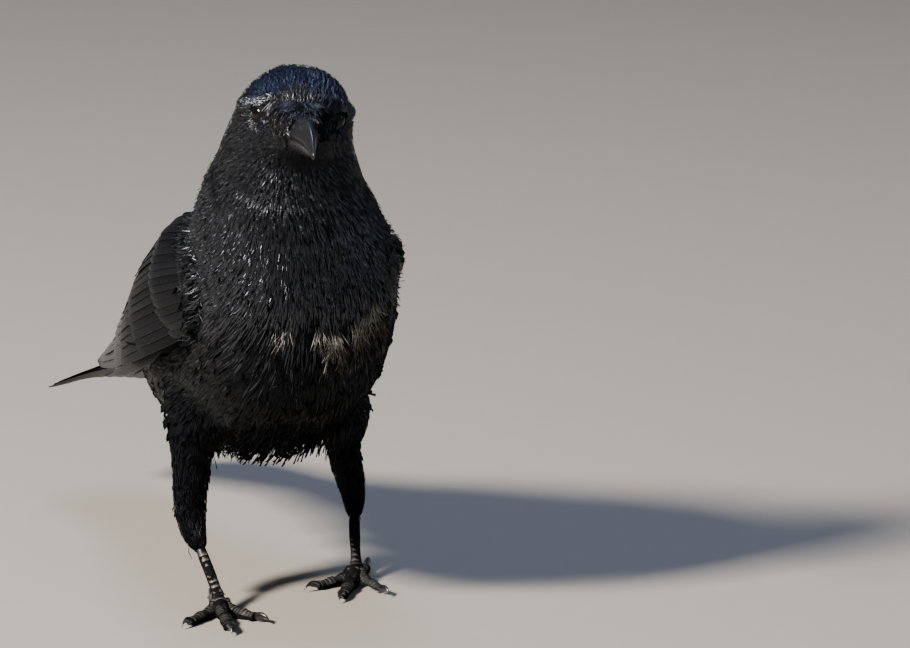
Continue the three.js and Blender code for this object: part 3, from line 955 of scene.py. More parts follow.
# ---------------------------------------------------------------- the coat
# Places, in millimetres like those on the bird.
HEM_UP = 31  # the lowest feathers of the shin grow this high above the ground
LESSER_COVERTS_TO = 30  # how far ahead the scattered coverts end, where the rows begin
FRINGE_FROM, FRINGE_HANG = -55, 10  # how far ahead feathers begin to hang off the underside, and how far
HACKLES_UP, HACKLES_BLEND = 168, 16  # how high the glossy feathers begin, and how much that wavers
STROKES_UP, STROKES_BLEND = 182, 10  # the same for the loose bright barbs of neck and breast
BREAST_FROM = 20  # how far ahead the breast begins
# Above this height the crown's vanes also carry the painted blue sheen of their base colour.
CROWN_UP = 20  # how high on the head the blue gloss begins
EYE_OPENING = (4.3, 3.5)  # half the length and half the height of the lids' opening
LID_REACH = 4.7  # how far the lids reach from its middle
# Sizes, in metres.
SMALL = 11 * MM  # the longest feather of the head
COVERED_WITHIN = 14 * MM  # nothing grows this close under the vanes of a folded wing
ROOT_SUNK = 0.3 * MM  # how deep in the skin a vane's root lies
# Counts and shares.
STROKES = 30000  # places tried for the loose bright barbs
STEEPEST = 0.86  # cosine of the angle between a feather's line and the skin under which none grows
JITTER = 0.09  # how much neighbours differ in direction
PARTING, PARTING_REACH = 2.2, 4.5  # how strongly feathers point away from an eye, and how far round it
# How much the skin faces sideways, and up: less than the first on the wing's front edge, which bears no
# scattered coverts, and less than the second on the underside.
FRONT_EDGE, UNDERSIDE = 0.55, -0.1
# Pale strands painted on the breast as the highlight of sunlit, parted feathers: side, ahead, up, how
# far round, how many strands.
PALE_GLINT_TUFTS = [
    (-9, 86, 161, 3, 60),
    (1, 85, 166, 2.5, 30),
    (5, 84, 171, 2.5, 34),
    (9, 82, 176, 2.5, 22),
    (-17, 86, 165, 4, 16),
    (-33, 83, 166, 4, 14),
]
# The same for brown strands beneath them, painted as the warm edge of that highlight.
BROWN_GLINT_TUFTS = [(-4, 86, 154, 4, 30), (6, 84, 159, 4, 34), (14, 80, 164, 4, 24)]
# The shapes of the vanes, whose widths are given row by row.
BODY_VANE = {"columns": 4, "widths": (0.45, 0.9, 1.0, 0.85, 0.3), "notch": 0.1}
COVERT_VANE = {"columns": 6, "widths": (0.5, 0.85, 1.0, 1.0, 0.9, 0.55), "ridge": 0.2}
SMALL_VANE = {"columns": 2, "widths": (0.7, 1.0, 0.95, 0.45)}
BARB = {"columns": 2, "widths": (0.7, 1.0, 0.1), "ridge": 0.25}


def sized(spots, rng):
    """Gives places the size of their feather and their distance from the next."""
    length, *rest = coat_at(spots["co"], spots["part"])
    spots["length"] = length * rng.uniform(0.85, 1.15, len(length))
    spots["half_width"], spots["spacing"], spots["depth"] = rest
    return take(spots, clear_of_eyes(spots["co"]))


def laid(spots, lie, rng):
    """Gives places the direction of their feather, and drops those that would stand up."""
    spots["flow"] = lie(spots["co"])
    spots = take(spots, np.abs((spots["flow"] * spots["normal"]).sum(1)) < STEEPEST)
    for mirror in (1, -1):
        away = spots["co"] - np.array(eye_middle(mirror))
        gap = np.linalg.norm(away, axis=1, keepdims=True) / MM
        parted = unit(away) * PARTING * np.exp(-((gap - EYE_RADIUS) / PARTING_REACH))
        spots["flow"] = spots["flow"] + parted
    spots["flow"] = laid_flat(spots["flow"], spots["normal"])
    jitter = rng.normal(0, JITTER, (len(spots["co"]), 1))
    spots["flow"] = unit(spots["flow"] + np.cross(spots["flow"], spots["normal"]) * jitter)
    return spots


def clear_of_eyes(points):
    """Which places lie clear of the openings of the eyes and of the bill."""
    clear = np.ones(len(points), bool)
    for mirror in (1, -1):
        look = np.array(eye_look(mirror))
        offset = points - np.array(eye_middle(mirror))
        along = offset @ look
        beside = np.linalg.norm(offset - along[:, None] * look, axis=1)
        clear &= (beside > LID_REACH * MM) | (along < 0)
    _, back, _ = head_local(points).T
    return clear & (-back < PLUG_FROM - 1)


def eye_look(mirror):
    """The way that an eye faces."""
    return head_turned(mirror * 0.93, 0.34, 0.08)


def coat_regions(spots):
    """Which places bear which kind of plumage. The glossy one thins out over the breast."""
    rng = np.random.default_rng(len(spots["co"]))
    shin, wing = (on_part(spots["part"], start) for start in ("shin", "wing"))
    body = ~shin & ~wing
    small = body & (coat_at(spots["co"], spots["part"])[0] < SMALL)
    _, back, up = head_local(spots["co"]).T
    crown = small & (up > CROWN_UP) & (-back < BROW[3][1])
    front = spots["co"][:, 1] < place(0, BREAST_FROM, 0).y
    high = spots["co"][:, 2] > FEET.z + rng.normal(HACKLES_UP, HACKLES_BLEND, len(front)) * MM
    neck = body & ~small & front & high
    low = body & ~small & ~neck & (front | (spots["normal"][:, 2] < UNDERSIDE))
    return {
        "crown": crown,
        "face": small & ~crown,
        "neck": neck,
        "belly": low,
        "back": body & ~small & ~neck & ~low,
        "shins": shin,
        "wings": wing,
    }


def within_coat(spots):
    """Which places bear scattered feathers: not the tarsus, nor the wing behind its small coverts."""
    shin, wing = (on_part(spots["part"], start) for start in ("shin", "wing"))
    low = spots["co"][:, 2] < FEET.z + HEM_UP * MM
    behind = spots["co"][:, 1] > place(0, LESSER_COVERTS_TO, 0).y
    edge = np.abs(spots["normal"][:, 0]) < FRONT_EDGE
    return ~(shin & low) & ~(wing & (behind | edge))


def in_the_open(spots):
    """Which places aren't covered closely by the vanes of a folded wing."""
    bm = bmesh.new()
    for node in NODES:
        if node.endswith(("primaries", "secondaries")):
            merged_copy(bm, node, 0)
    cover = BVHTree.FromBMesh(bm)
    bm.free()
    rays = zip(spots["co"].tolist(), spots["normal"].tolist())
    return np.array([cover.ray_cast(at, out, COVERED_WITHIN)[0] is None for at, out in rays])


class CROW_OT_coat(bpy.types.Operator):
    """Grows the contour feathers and their loose barbs over the skin"""

    bl_idname = "crow.coat"
    bl_label = "Body coat"

    def execute(self, context):
        settings, colours = context.scene.crow_plumage, context.scene.crow_colours
        bed, lie = skin_bed(), plumage_lie()
        rng = np.random.default_rng(settings.seed)
        black = colours.plumage
        hackle = vane_keratin("hackle_vane", black, barbs=9, bump=0.7, roughness=0.34, gloss=0.18)
        silky = vane_keratin("body_vane", black, barbs=9, bump=0.6, roughness=0.36, gloss=0.08)
        velvet = vane_keratin("velvet_vane", black, barbs=9, bump=0.4, roughness=0.4, gloss=0.03)
        face = vane_keratin("face_vane", black, barbs=6, bump=0.6, roughness=0.32, gloss=0.22, worn=0.1)
        covert = vane_keratin(
            "covert_vane", black, barbs=16, bump=0.4, roughness=0.34, gloss=0.15, worn=0.05
        )
        # The crown's vanes: the blue of their base colour is a painted sky sheen, and their tint a blue
        # gloss.
        crown = vane_keratin(
            "crown_sky_sheen_vane", colours.crown, barbs=8, bump=0.5, roughness=0.28, gloss=0.2,
            tint=colours.sky_gloss,
        )
        glinting = vane_keratin("glinting_barb", black, barbs=4, bump=0.1, roughness=0.3, gloss=1.0)
        dull = vane_keratin("dull_barb", black, barbs=4, bump=0.1, roughness=0.3, gloss=0.12)
        # For each region: the shape of its vanes, their material and how unruly they lie.
        kinds = {
            "crown": (SMALL_VANE, crown, 1.0),
            "face": (SMALL_VANE, face, 1.0),
            "neck": (BODY_VANE, hackle, 1.0),
            "belly": (BODY_VANE, velvet, 0.5),
            "back": (BODY_VANE, silky, 1.0),
            "shins": (BODY_VANE, velvet, 0.3),
            "wings": (COVERT_VANE, covert, 0.3),
        }
        self.vanes(settings, bed, lie, rng, kinds)
        self.barbs(settings, bed, lie, rng, velvet, glinting, dull)
        # Pale and brown strands on the breast, painted as the highlight of sunlit feathers.
        self.glint_tufts("pale_glint_tufts", PALE_GLINT_TUFTS, colours.glint_tufts, bed, lie)
        self.glint_tufts("brown_glint_tufts", BROWN_GLINT_TUFTS, colours.worn, bed, lie)
        self.silver_strokes(bed, lie, glinting)
        return {"FINISHED"}

    def vanes(self, settings, bed, lie, rng, kinds):
        """The contour feathers, region by region."""
        spots = sized(bed.scatter(settings.candidates, rng, PLUMED), rng)
        spots = take(spots, thinned(spots, spots["spacing"], rng.permutation(len(spots["co"]))))
        spots = laid(spots, lie, rng)
        spots = take(spots, within_coat(spots))
        spots = take(spots, in_the_open(spots))
        for name, mask in coat_regions(spots).items():
            shape, keratin, unruly = kinds[name]
            some = take(spots, mask)
            loft = np.where(some["length"] < SMALL, 0.5, 0.78) * some["depth"] * settings.fullness
            loft *= rng.uniform(0.7, 1.2, len(loft))
            lift = (np.full(len(loft), -ROOT_SUNK), loft)
            grown(
                f"coat_{name}", bed, some, Vane(**shape), keratin, lift, settings.seed,
                camber=0.15, curled=unruly, rolled=unruly,
            )

    def barbs(self, settings, bed, lie, rng, velvet, glinting, dull):
        """The fringe that hangs off the underside, and the single barbs that lie over the vanes."""
        loose = sized(bed.scatter(settings.strands, rng, PLUMED), rng)
        loose = laid(take(loose, within_coat(loose)), lie, rng)
        loose = take(loose, in_the_open(loose))
        under = smoothstep(0.55, 0.9, -loose["normal"][:, 2])
        under *= ~on_part(loose["part"], "head") & (loose["co"][:, 1] < place(0, FRINGE_FROM, 0).y)
        hanging = rng.random(len(loose["co"])) < 0.7 * under
        fringe, loose = take(loose, hanging), take(loose, ~hanging)
        count = len(fringe["co"])
        fringe["half_width"] = rng.uniform(0.15, 0.4, count) * MM
        lift = (fringe["depth"] * 0.3, fringe["depth"] + rng.random(count) ** 2 * FRINGE_HANG * MM)
        grown("coat_fringe", bed, fringe, Vane(**BARB), velvet, lift, settings.seed + 2)
        loose["length"] *= 0.7
        loose["half_width"] = np.clip(loose["half_width"] * 0.09, 0.12 * MM, 0.4 * MM)
        for name, mask in coat_regions(loose).items():
            if name == "wings":
                continue
            some = take(loose, mask)
            keratin = glinting if name in ("crown", "face", "neck") else dull
            lift = (some["depth"] * 0.7, some["depth"] * settings.fullness)
            grown(f"barbs_{name}", bed, some, Vane(**BARB), keratin, lift, settings.seed + 1, thick=0.6)

    def silver_strokes(self, bed, lie, material):
        """More loose barbs on neck and breast, each curled its own way so that some always shine."""
        rng = np.random.default_rng(11)
        spots = sized(bed.scatter(STROKES, rng, ("neck", "trunk")), rng)
        spots = laid(spots, lie, rng)
        lowest = rng.normal(STROKES_UP, STROKES_BLEND, len(spots["co"])) * MM
        high = spots["co"][:, 2] > FEET.z + lowest
        spots = take(spots, coat_regions(spots)["neck"] & high)
        count = len(spots["co"])
        spots["length"] = rng.uniform(4, 9, count) * MM
        spots["half_width"] = rng.uniform(0.14, 0.3, count) * MM
        lift = (spots["depth"] * 0.85, spots["depth"] * rng.uniform(0.95, 1.15, count))
        grown("barbs_silver", bed, spots, Vane(**BARB), material, lift, 14, thick=0.6, curled=1.6)

    def glint_tufts(self, name, tufts, colour, bed, lie):
        """Loose strands on the breast in a given colour, painted as part of the highlight of sunlit,
        parted feathers.
        """
        rng = np.random.default_rng(len(tufts))
        near = []
        for side, ahead, up, reach, count in tufts:
            near += [place(side + x, ahead, up + z) for x, z in rng.normal(0, reach * 0.5, (count, 2))]
        at, normal = bed.nearest(np.array(near))
        spots = {"co": at, "normal": normal, "flow": laid_flat(lie(at), normal), "uv": bed.uv_at(at)}
        astray = rng.normal(0.1, 0.32, (len(at), 1))
        spots["flow"] = unit(spots["flow"] + np.cross(spots["flow"], normal) * astray)
        spots["length"] = rng.uniform(5, 15, len(at)) * MM
        spots["half_width"] = rng.uniform(0.08, 0.28, len(at)) * MM
        material = vane_keratin(f"{name}_barb", colour, barbs=5, bump=0.1, roughness=0.6, gloss=0.1)
        lift = (np.full(len(at), 4.5 * MM), rng.uniform(7.2, 8.6, len(at)) * MM)
        grown(name, bed, spots, Vane(**BARB), material, lift, 5)


# ---------------------------------------------------------------- flight feathers
class Blade:
    """A closed blade of a flight feather, whose points are put one by one: put(across, t, rise)."""

    def __init__(self, columns=8, rows=16):
        self.vane = Vane(columns, [1.0] * (rows + 1), thick=1.0, ridge=1.0)

    def points(self, put):
        vane = self.vane
        return np.array([put(a, r / vane.rows, z) for a, r, z in zip(vane.across, vane.row, vane.rise)])


def outline(t, root=0.35, tip=0.16):
    """The half width of a flight feather along its length against its widest."""
    base = lerp(root, 1.0, float(smoothstep(0, 0.35, t)))
    return base * math.sqrt(max(1 - max(t - (1 - tip), 0) ** 2 / tip**2 * 0.94, 0))


def shaft(across, t, taper):
    """Half the thickness of a flight feather, in millimetres: a thin vane on a tapering shaft."""
    return 0.15 + 0.5 * max(1 - 5 * abs(across), 0) * (1 - taper * t)


def flight_feathers(name, puts, material, bed, seed):
    """A joined mesh of flight feathers, one for each put."""
    blade = Blade()
    co = np.stack([blade.points(put) for put in puts])
    rng = np.random.default_rng(seed)
    spots = {"uv": bed.uv_at(co[:, 0]), "tone": rng.random(len(puts))}
    return joined_mesh(name, co, blade.vane, spots, material, rng)


# For each fan of the wing: how many feathers, their half width in millimetres, and where the lowest and
# the highest one have root and tip, as share along the wing, share up it and lift off it.
WING_FANS = {
    "primaries": (7, 8.5, [(0.45, 0.16, -4), (1.0, 0.2, -3)], [(0.45, 0.75, -4), (0.85, 0.85, -2)]),
    "secondaries": (9, 10.5, [(0.30, 0.16, -2), (0.66, 0.09, 0)], [(0.22, 0.85, -2), (0.8, 0.92, 1.5)]),
}
# Rows of coverts over the wing's shell, laid the same way but counted as lift from the shell.
COVERT_ROWS = {
    "greater_coverts": (
        13, 6.5, [(0.26, 0.14, -1), (0.56, 0.10, 1.4)], [(0.24, 0.9, -1), (0.68, 0.93, 1.4)],
    ),
    "median_coverts": (
        14, 5.4, [(0.12, 0.13, -1), (0.42, 0.10, 1.6)], [(0.12, 0.92, -1), (0.5, 0.94, 1.6)],
    ),
    "lesser_coverts": (
        15, 4.6, [(0.04, 0.14, -1.5), (0.27, 0.11, 1.6)], [(0.03, 0.92, -1.5), (0.34, 0.94, 1.6)],
    ),
    "marginal_coverts": (
        16, 4.0, [(0.02, 0.16, -1.5), (0.15, 0.15, 1.5)], [(0.02, 0.88, -1.5), (0.19, 0.9, 1.5)],
    ),
}
# How much the feathers of a row differ: in reach as a share of the wing, in lift and in lap.
RUFFLE = (0.006, 0.2, 0.35)
VANE_ARCH, VANE_LAP = 0.5, 1.6  # how far a vane arches up, and how far its upper edge dips


def wing_puts(mirror, count, half_width, lowest, highest, on_shell=False):
    """The puts of a row of feathers on a wing, from its lower to its upper edge."""
    rng = np.random.default_rng(count)
    ruffle = rng.uniform(-1, 1, (count, 3)) * RUFFLE

    def one(i):
        k = i / (count - 1)
        root, tip = ([lerp(a, b, k) for a, b in zip(lowest[end], highest[end])] for end in (0, 1))
        tip[0] += ruffle[i][0]
        tip[2] += ruffle[i][1]

        def put(across, t, rise):
            s, r, lift = (lerp(a, b, t) for a, b in zip(root, tip))
            wide = half_width * outline(t)
            r += across * wide / max(wing_height(s), 20)
            # Each vane's lower edge lies over the vane below it.
            lap = (VANE_LAP + ruffle[i][2]) * across * wide / half_width
            lift += VANE_ARCH * (1 - across * across) - lap + rise * shaft(across, t, 0.7)
            if on_shell:
                lift += wing_shell(s, clamp(r, 0.04, 0.96))
            return wing_point(mirror, s, clamp(r, -0.06, 1.05), lift)

        return put

    return [one(i) for i in range(count)]


class CROW_OT_wings(bpy.types.Operator):
    """Lays the primaries and the secondaries of both folded wings, and the coverts' long rows"""

    bl_idname = "crow.wings"
    bl_label = "Wings"

    def execute(self, context):
        colours = context.scene.crow_colours
        black = colours.plumage
        bed = skin_bed()
        matt = vane_keratin(
            "flight_vane", colours.flight, barbs=42, bump=0.3, roughness=0.45, gloss=0.02, worn=0.5
        )
        wrist = vane_keratin(
            "wrist_covert", black, barbs=14, bump=0.4, roughness=0.3, gloss=0.1, worn=0.05
        )
        covert = vane_keratin(
            "row_covert", black, barbs=20, bump=0.4, roughness=0.42, gloss=0.03, worn=0.1
        )
        # The left wing's flight feathers are matt with worn rims, the right wing's smooth as its wrist.
        flight = {"left": matt, "right": wrist}
        for side, leg in LEGS.items():
            for seed, (fan, numbers) in enumerate(WING_FANS.items()):
                puts = wing_puts(leg["mirror"], *numbers)
                made = flight_feathers(f"wing_{side}_{fan}_vanes", puts, flight[side], bed, seed)
                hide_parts(f"wing_{side}_{fan}")
            for seed, (row, numbers) in enumerate(COVERT_ROWS.items()):
                puts = wing_puts(leg["mirror"], *numbers, on_shell=True)
                material = wrist if row in ("marginal_coverts", "lesser_coverts") else covert
                flight_feathers(f"wing_{side}_{row}", puts, material, bed, seed + 10)
        return {"FINISHED"}


RECTRIX_HALF_WIDTH, RECTRIX_TILT = 9.5, 1.3  # in millimetres; the tilt is the rise at its outer edge
TAIL_STEP = 0.27  # how much higher each tail feather lies than the one outside it


class CROW_OT_tail(bpy.types.Operator):
    """Lays the tail feathers"""

    bl_idname = "crow.tail"
    bl_label = "Tail"

    def execute(self, context):
        colours = context.scene.crow_colours
        material = vane_keratin(
            "tail_vane", colours.flight, barbs=46, bump=0.2, roughness=0.4, gloss=0.04, worn=0.6
        )

        def one(i):
            k = 2 * (i + 0.5) / RECTRICES - 1
            stack = TAIL_STEP * (1 - abs(k)) * RECTRICES / 2

            def put(across, t, rise):
                wide = outline(t, root=0.5, tip=0.1)
                spread = TAIL_ROOT_HALF_WIDTH + math.sin(math.radians(TAIL_FAN)) * TAIL_LENGTH * t
                reach = k * 0.86 + across * wide * RECTRIX_HALF_WIDTH / spread
                # The outer edge of each vane lies over the next vane outwards.
                tilt = RECTRIX_TILT * across * (1 if k > 0 else -1) * wide
                lift = stack + tilt + rise * shaft(across, t, 0.6)
                return tail_point(reach, t * (1 - 0.03 * abs(k)), lift)

            return put

        made = flight_feathers("tail_vanes", [one(i) for i in range(RECTRICES)], material, skin_bed(), 5)
        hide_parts("tail")
        return {"FINISHED"}


# ---------------------------------------------------------------- the head
def bill_half(upper):
    """Gives the points of half the bill, which share the gape line. Culmen and keel are ridged."""
    way = 1 if upper else -1

    def gape_up(t):
        return BILL_SEAM_UP + 1.5 * math.sin(math.pi * t) - BILL_HOOK * 0.55 * t**3

    def put(angle, t):
        t = clamp(t)
        slim = math.sqrt(max(1 - t ** (2.1 if upper else 2.6), 0)) * 0.985 + 0.015
        depth = (BILL_UPPER_DEPTH if upper else BILL_LOWER_DEPTH) * slim
        reach = t if upper else t * 0.93
        wide = BILL_HALF_WIDTH * (0.25 + 0.75 * (1 - t)) * slim
        c, s = math.cos(angle), math.sin(angle)
        flat = s <= 0 if upper else s >= 0
        rise = 0.0 if flat else abs(s) ** 0.85 * depth * way
        # The sides fall nearly straight from a narrow ridge to the cutting edge.
        width = wide * (c * (1 - 0.35 * abs(s)) if flat else math.copysign(abs(c) ** 1.15, c))
        droop = BILL_HOOK * 0.45 * t**5 if upper else 0
        # The faces that meet in the closed bill are hollow, so that only its edges touch.
        hollow = 0.25 * abs(s) * way if flat else 0
        ahead = lerp(BILL_FROM - BILL_ROOT * (1 - t) ** 8, BILL_TIP, reach)
        return in_head(width, ahead, gape_up(reach) + way * BILL_GAP / 2 + rise - droop + hollow)

    return put


BRISTLES = 1500
BRISTLES_UP, BRISTLES_BESIDE = (4, 21), 15  # the part of the face that bears them
LID_THICK = 0.35  # half the thickness of a lid, in millimetres
EYE_RING = 10  # how far from the middle of an eye its ring of small feathers reaches, in millimetres


class CROW_OT_head(bpy.types.Operator):
    """Models the bill, the eyes and their lids, and lays the nasal bristles"""

    bl_idname = "crow.head"
    bl_label = "Bill, eyes and bristles"

    def execute(self, context):
        colours = context.scene.crow_colours
        bill = horn("bill_horn", colours.bill, 0.24, 40)
        for name, upper in (("bill_upper", True), ("bill_lower", False)):
            bm = bmesh.new()
            sleeve(bm, 48, 64, bill_half(upper))
            made = finished(f"{name}_horn", mesh_of(name, bm), bill)
            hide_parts(name)
        eye_material = wet_eye("eye", colours.iris)
        lid_material = bare_skin("eyelid", colours.lid, 0.4, 0.2)
        lids = bmesh.new()
        for side, mirror in (("left", 1), ("right", -1)):
            self.eye(side, mirror, eye_material)
            self.lid(lids, mirror)
        finished("eyelids", mesh_of("eyelids", lids), lid_material)
        self.bristles(context)
        accent_feathers(
            context, "brow_feathers", lambda p: brow_share(p) > 0.5, along_brow,
            length=(1.6, 3.2), count=1500, seed=4, gloss=1.0,
        )
        accent_feathers(
            context, "eye_ring", lambda p: round_eyes(p)[0] < EYE_RING, lambda p: round_eyes(p)[1],
            length=(1.2, 2.4), count=1300, seed=5, gloss=0.3,
        )
        return {"FINISHED"}

    def eye(self, side, mirror, material):
        """An eyeball whose cornea bulges a little."""
        radius = EYE_RADIUS * MM
        bm = bmesh.new()
        bmesh.ops.create_uvsphere(bm, u_segments=48, v_segments=32, radius=radius)
        off_axis = [v.co.xy.length / radius if v.co.z > 0 else 1.0 for v in bm.verts]
        for v in bm.verts:
            if v.co.z > 0:
                v.co.z *= 1 + 0.06 * math.cos(min(v.co.xy.length / radius, 1) * math.pi / 2)
        turn = eye_look(mirror).to_track_quat("Z", "Y").to_matrix().to_4x4()
        bmesh.ops.transform(bm, matrix=Matrix.Translation(eye_middle(mirror)) @ turn, verts=bm.verts)
        mesh = mesh_of(f"eye_{side}", bm)
        mesh.attributes.new("off_axis", "FLOAT", "POINT").data.foreach_set("value", off_axis)
        made = finished(f"eye_{side}_ball", mesh, material)
        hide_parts(f"eye_{side}")

    def lid(self, bm, mirror):
        """A crinkled ring of skin on the eye round its opening, which runs out under the feathers."""
        middle, look = eye_middle(mirror), eye_look(mirror)
        across = head_turned(0, 1, 0)
        across = (across - look * across.dot(look)).normalized()
        up = look.cross(across) * mirror
        broad = (LID_REACH + 0.4 - EYE_OPENING[1]) / 2

        def put(angle, t):
            turn = 2 * math.pi * t
            rim = Vector((math.cos(turn) * EYE_OPENING[0], math.sin(turn) * EYE_OPENING[1]))
            crinkle = 0.12 * math.sin(turn * 31 + 2 * math.sin(turn * 3)) + 0.1 * math.sin(turn * 47 + 1)
            spot = rim + rim.normalized() * broad * (1 + math.cos(angle))
            past_rim = spot.length - rim.length
            over = -LID_THICK
            if math.sin(angle) >= 0:
                fold = 0.4 * math.exp(-((past_rim / 0.5) ** 2))
                over = LID_THICK + fold + crinkle * float(smoothstep(0, 0.8, past_rim))
            ball = math.sqrt(max((EYE_RADIUS + 0.05) ** 2 - min(spot.length, EYE_RADIUS) ** 2, 0.0))
            height = max(ball, EYE_RADIUS * 0.42) + over
            return middle + (across * spot.x + up * spot.y + look * height) * MM

        sleeve(bm, 16, 144, put)

    def bristles(self, context):
        """The stiff feathers that lie forward over the root of the bill."""
        settings, colours = context.scene.crow_plumage, context.scene.crow_colours
        bed = skin_bed()
        rng = np.random.default_rng(settings.seed + 3)
        spots = bed.scatter(settings.candidates, rng, ("head",))
        side, back, up = head_local(spots["co"]).T
        front = (-back > BRISTLES_FROM) & (-back < PLUG_FROM - 1)
        front &= (up > BRISTLES_UP[0]) & (up < BRISTLES_UP[1]) & (np.abs(side) < BRISTLES_BESIDE)
        spots, side = take(spots, front), side[front]
        # They lie forward along the bill and splay to either side of the middle.
        forward = np.array([head_turned(1.3 * x / (4 + abs(x)), 1, -0.15) for x in side])
        spots["flow"] = laid_flat(forward, spots["normal"])
        count = len(spots["co"])
        spots["length"] = rng.uniform(5, 9, count) * MM
        spots["half_width"] = rng.uniform(0.25, 0.5, count) * MM
        spots = take(spots, rng.random(count) < BRISTLES / count)
        material = vane_keratin(
            "bristle", colours.plumage, barbs=3, bump=0.2, roughness=0.32, gloss=0.4, worn=0.3
        )
        count = len(spots["co"])
        lift = (np.full(count, 0.4 * MM), rng.uniform(0.8, 3.0, count) * MM)
        grown("nasal_bristles", bed, spots, Vane(**BARB), material, lift, 9)


def accent_feathers(context, name, wanted, towards, length, count, seed, gloss):
    """Small feathers on a part of the head: wanted picks their places and towards their directions."""
    settings, colours = context.scene.crow_plumage, context.scene.crow_colours
    bed = skin_bed()
    rng = np.random.default_rng(settings.seed + seed)
    spots = bed.scatter(settings.candidates, rng, ("head",))
    spots = take(spots, wanted(spots["co"]) & clear_of_eyes(spots["co"]))
    spots = take(spots, rng.random(len(spots["co"])) < count / len(spots["co"]))
    flow = laid_flat(towards(spots["co"]), spots["normal"])
    across = np.cross(flow, spots["normal"])
    spots["flow"] = unit(flow + across * rng.normal(0, 0.3, (len(flow), 1)))
    spots["length"] = rng.uniform(*length, len(flow)) * MM
    spots["half_width"] = rng.uniform(0.2, 0.45, len(flow)) * MM
    material = vane_keratin(
        f"{name}_vane", colours.plumage, barbs=3, bump=0.1, roughness=0.36, gloss=gloss
    )
    lift = (rng.uniform(0.2, 0.6, len(flow)) * MM, rng.uniform(0.7, 1.5, len(flow)) * MM)
    grown(name, bed, spots, Vane(**BARB), material, lift, 12, curled=1.0)


def along_brow(points):
    """From the middle of the brow outwards."""
    side = head_local(points)[:, 0]
    return np.array([head_turned(math.copysign(1, x), -0.5, -0.15 * abs(x) / 10) for x in side])


def round_eyes(points):
    """How far each place is from the nearer eye's middle, in millimetres, and the way from it."""
    eyes = [np.array(eye_middle(mirror)) for mirror in (1, -1)]
    ways = np.stack([points - eye for eye in eyes])
    gaps = np.linalg.norm(ways, axis=2) / MM
    nearer = (gaps.argmin(0), np.arange(len(points)))
    return gaps[nearer], unit(ways[nearer])


# ---------------------------------------------------------------- the feet
def toe_lines(leg, toe):
    """The line of a toe and of its claw as functions of a share of their length."""
    turn = math.radians(leg["heading"] + leg["mirror"] * toe["turn"])
    dx, dy, r = math.sin(turn), math.cos(turn), toe["radius"]

    def reach(length, up):
        return (leg["ball"][0] + dx * length, leg["ball"][1] + dy * length, up)

    long, claw = toe["length"], toe["claw"]
    joints = ((3, 6), (long * 0.34, r * 0.74), (long * 0.68, r * 0.64), (long, r * 0.55))
    rows = [reach(*joint) for joint in joints]
    bend = ((long + 1, r * 0.95), (long + claw * 0.62, r + 3.2), (long + claw * 0.92, 0.9))
    a, b, c = (reach(*point) for point in bend)

    def claw_at(t):
        return [x * (1 - t) ** 2 + 2 * y * t * (1 - t) + z * t * t for x, y, z in zip(a, b, c)]

    return (lambda t: spline(rows, t)), claw_at


def limb_frame(line, t, step=0.01):
    """A point of a line with its direction, its side and its face."""
    t = clamp(t)
    here, before, beyond = (place(*line(clamp(u))) for u in (t, t - step, t + step))
    ahead = (beyond - before).normalized()
    side = (Vector((1, 0, 0)) - ahead * ahead.x).normalized()
    return here, ahead, side, side.cross(ahead)


SCUTE_PITCH = 2.1  # the length of a toe's scute, in millimetres
SCUTE_LAP = 1.35  # how long a scute is for each step to the next
SCUTE_REACH = math.radians(74)  # how far round the limb it reaches to either side
TARSUS_SCUTES = 9


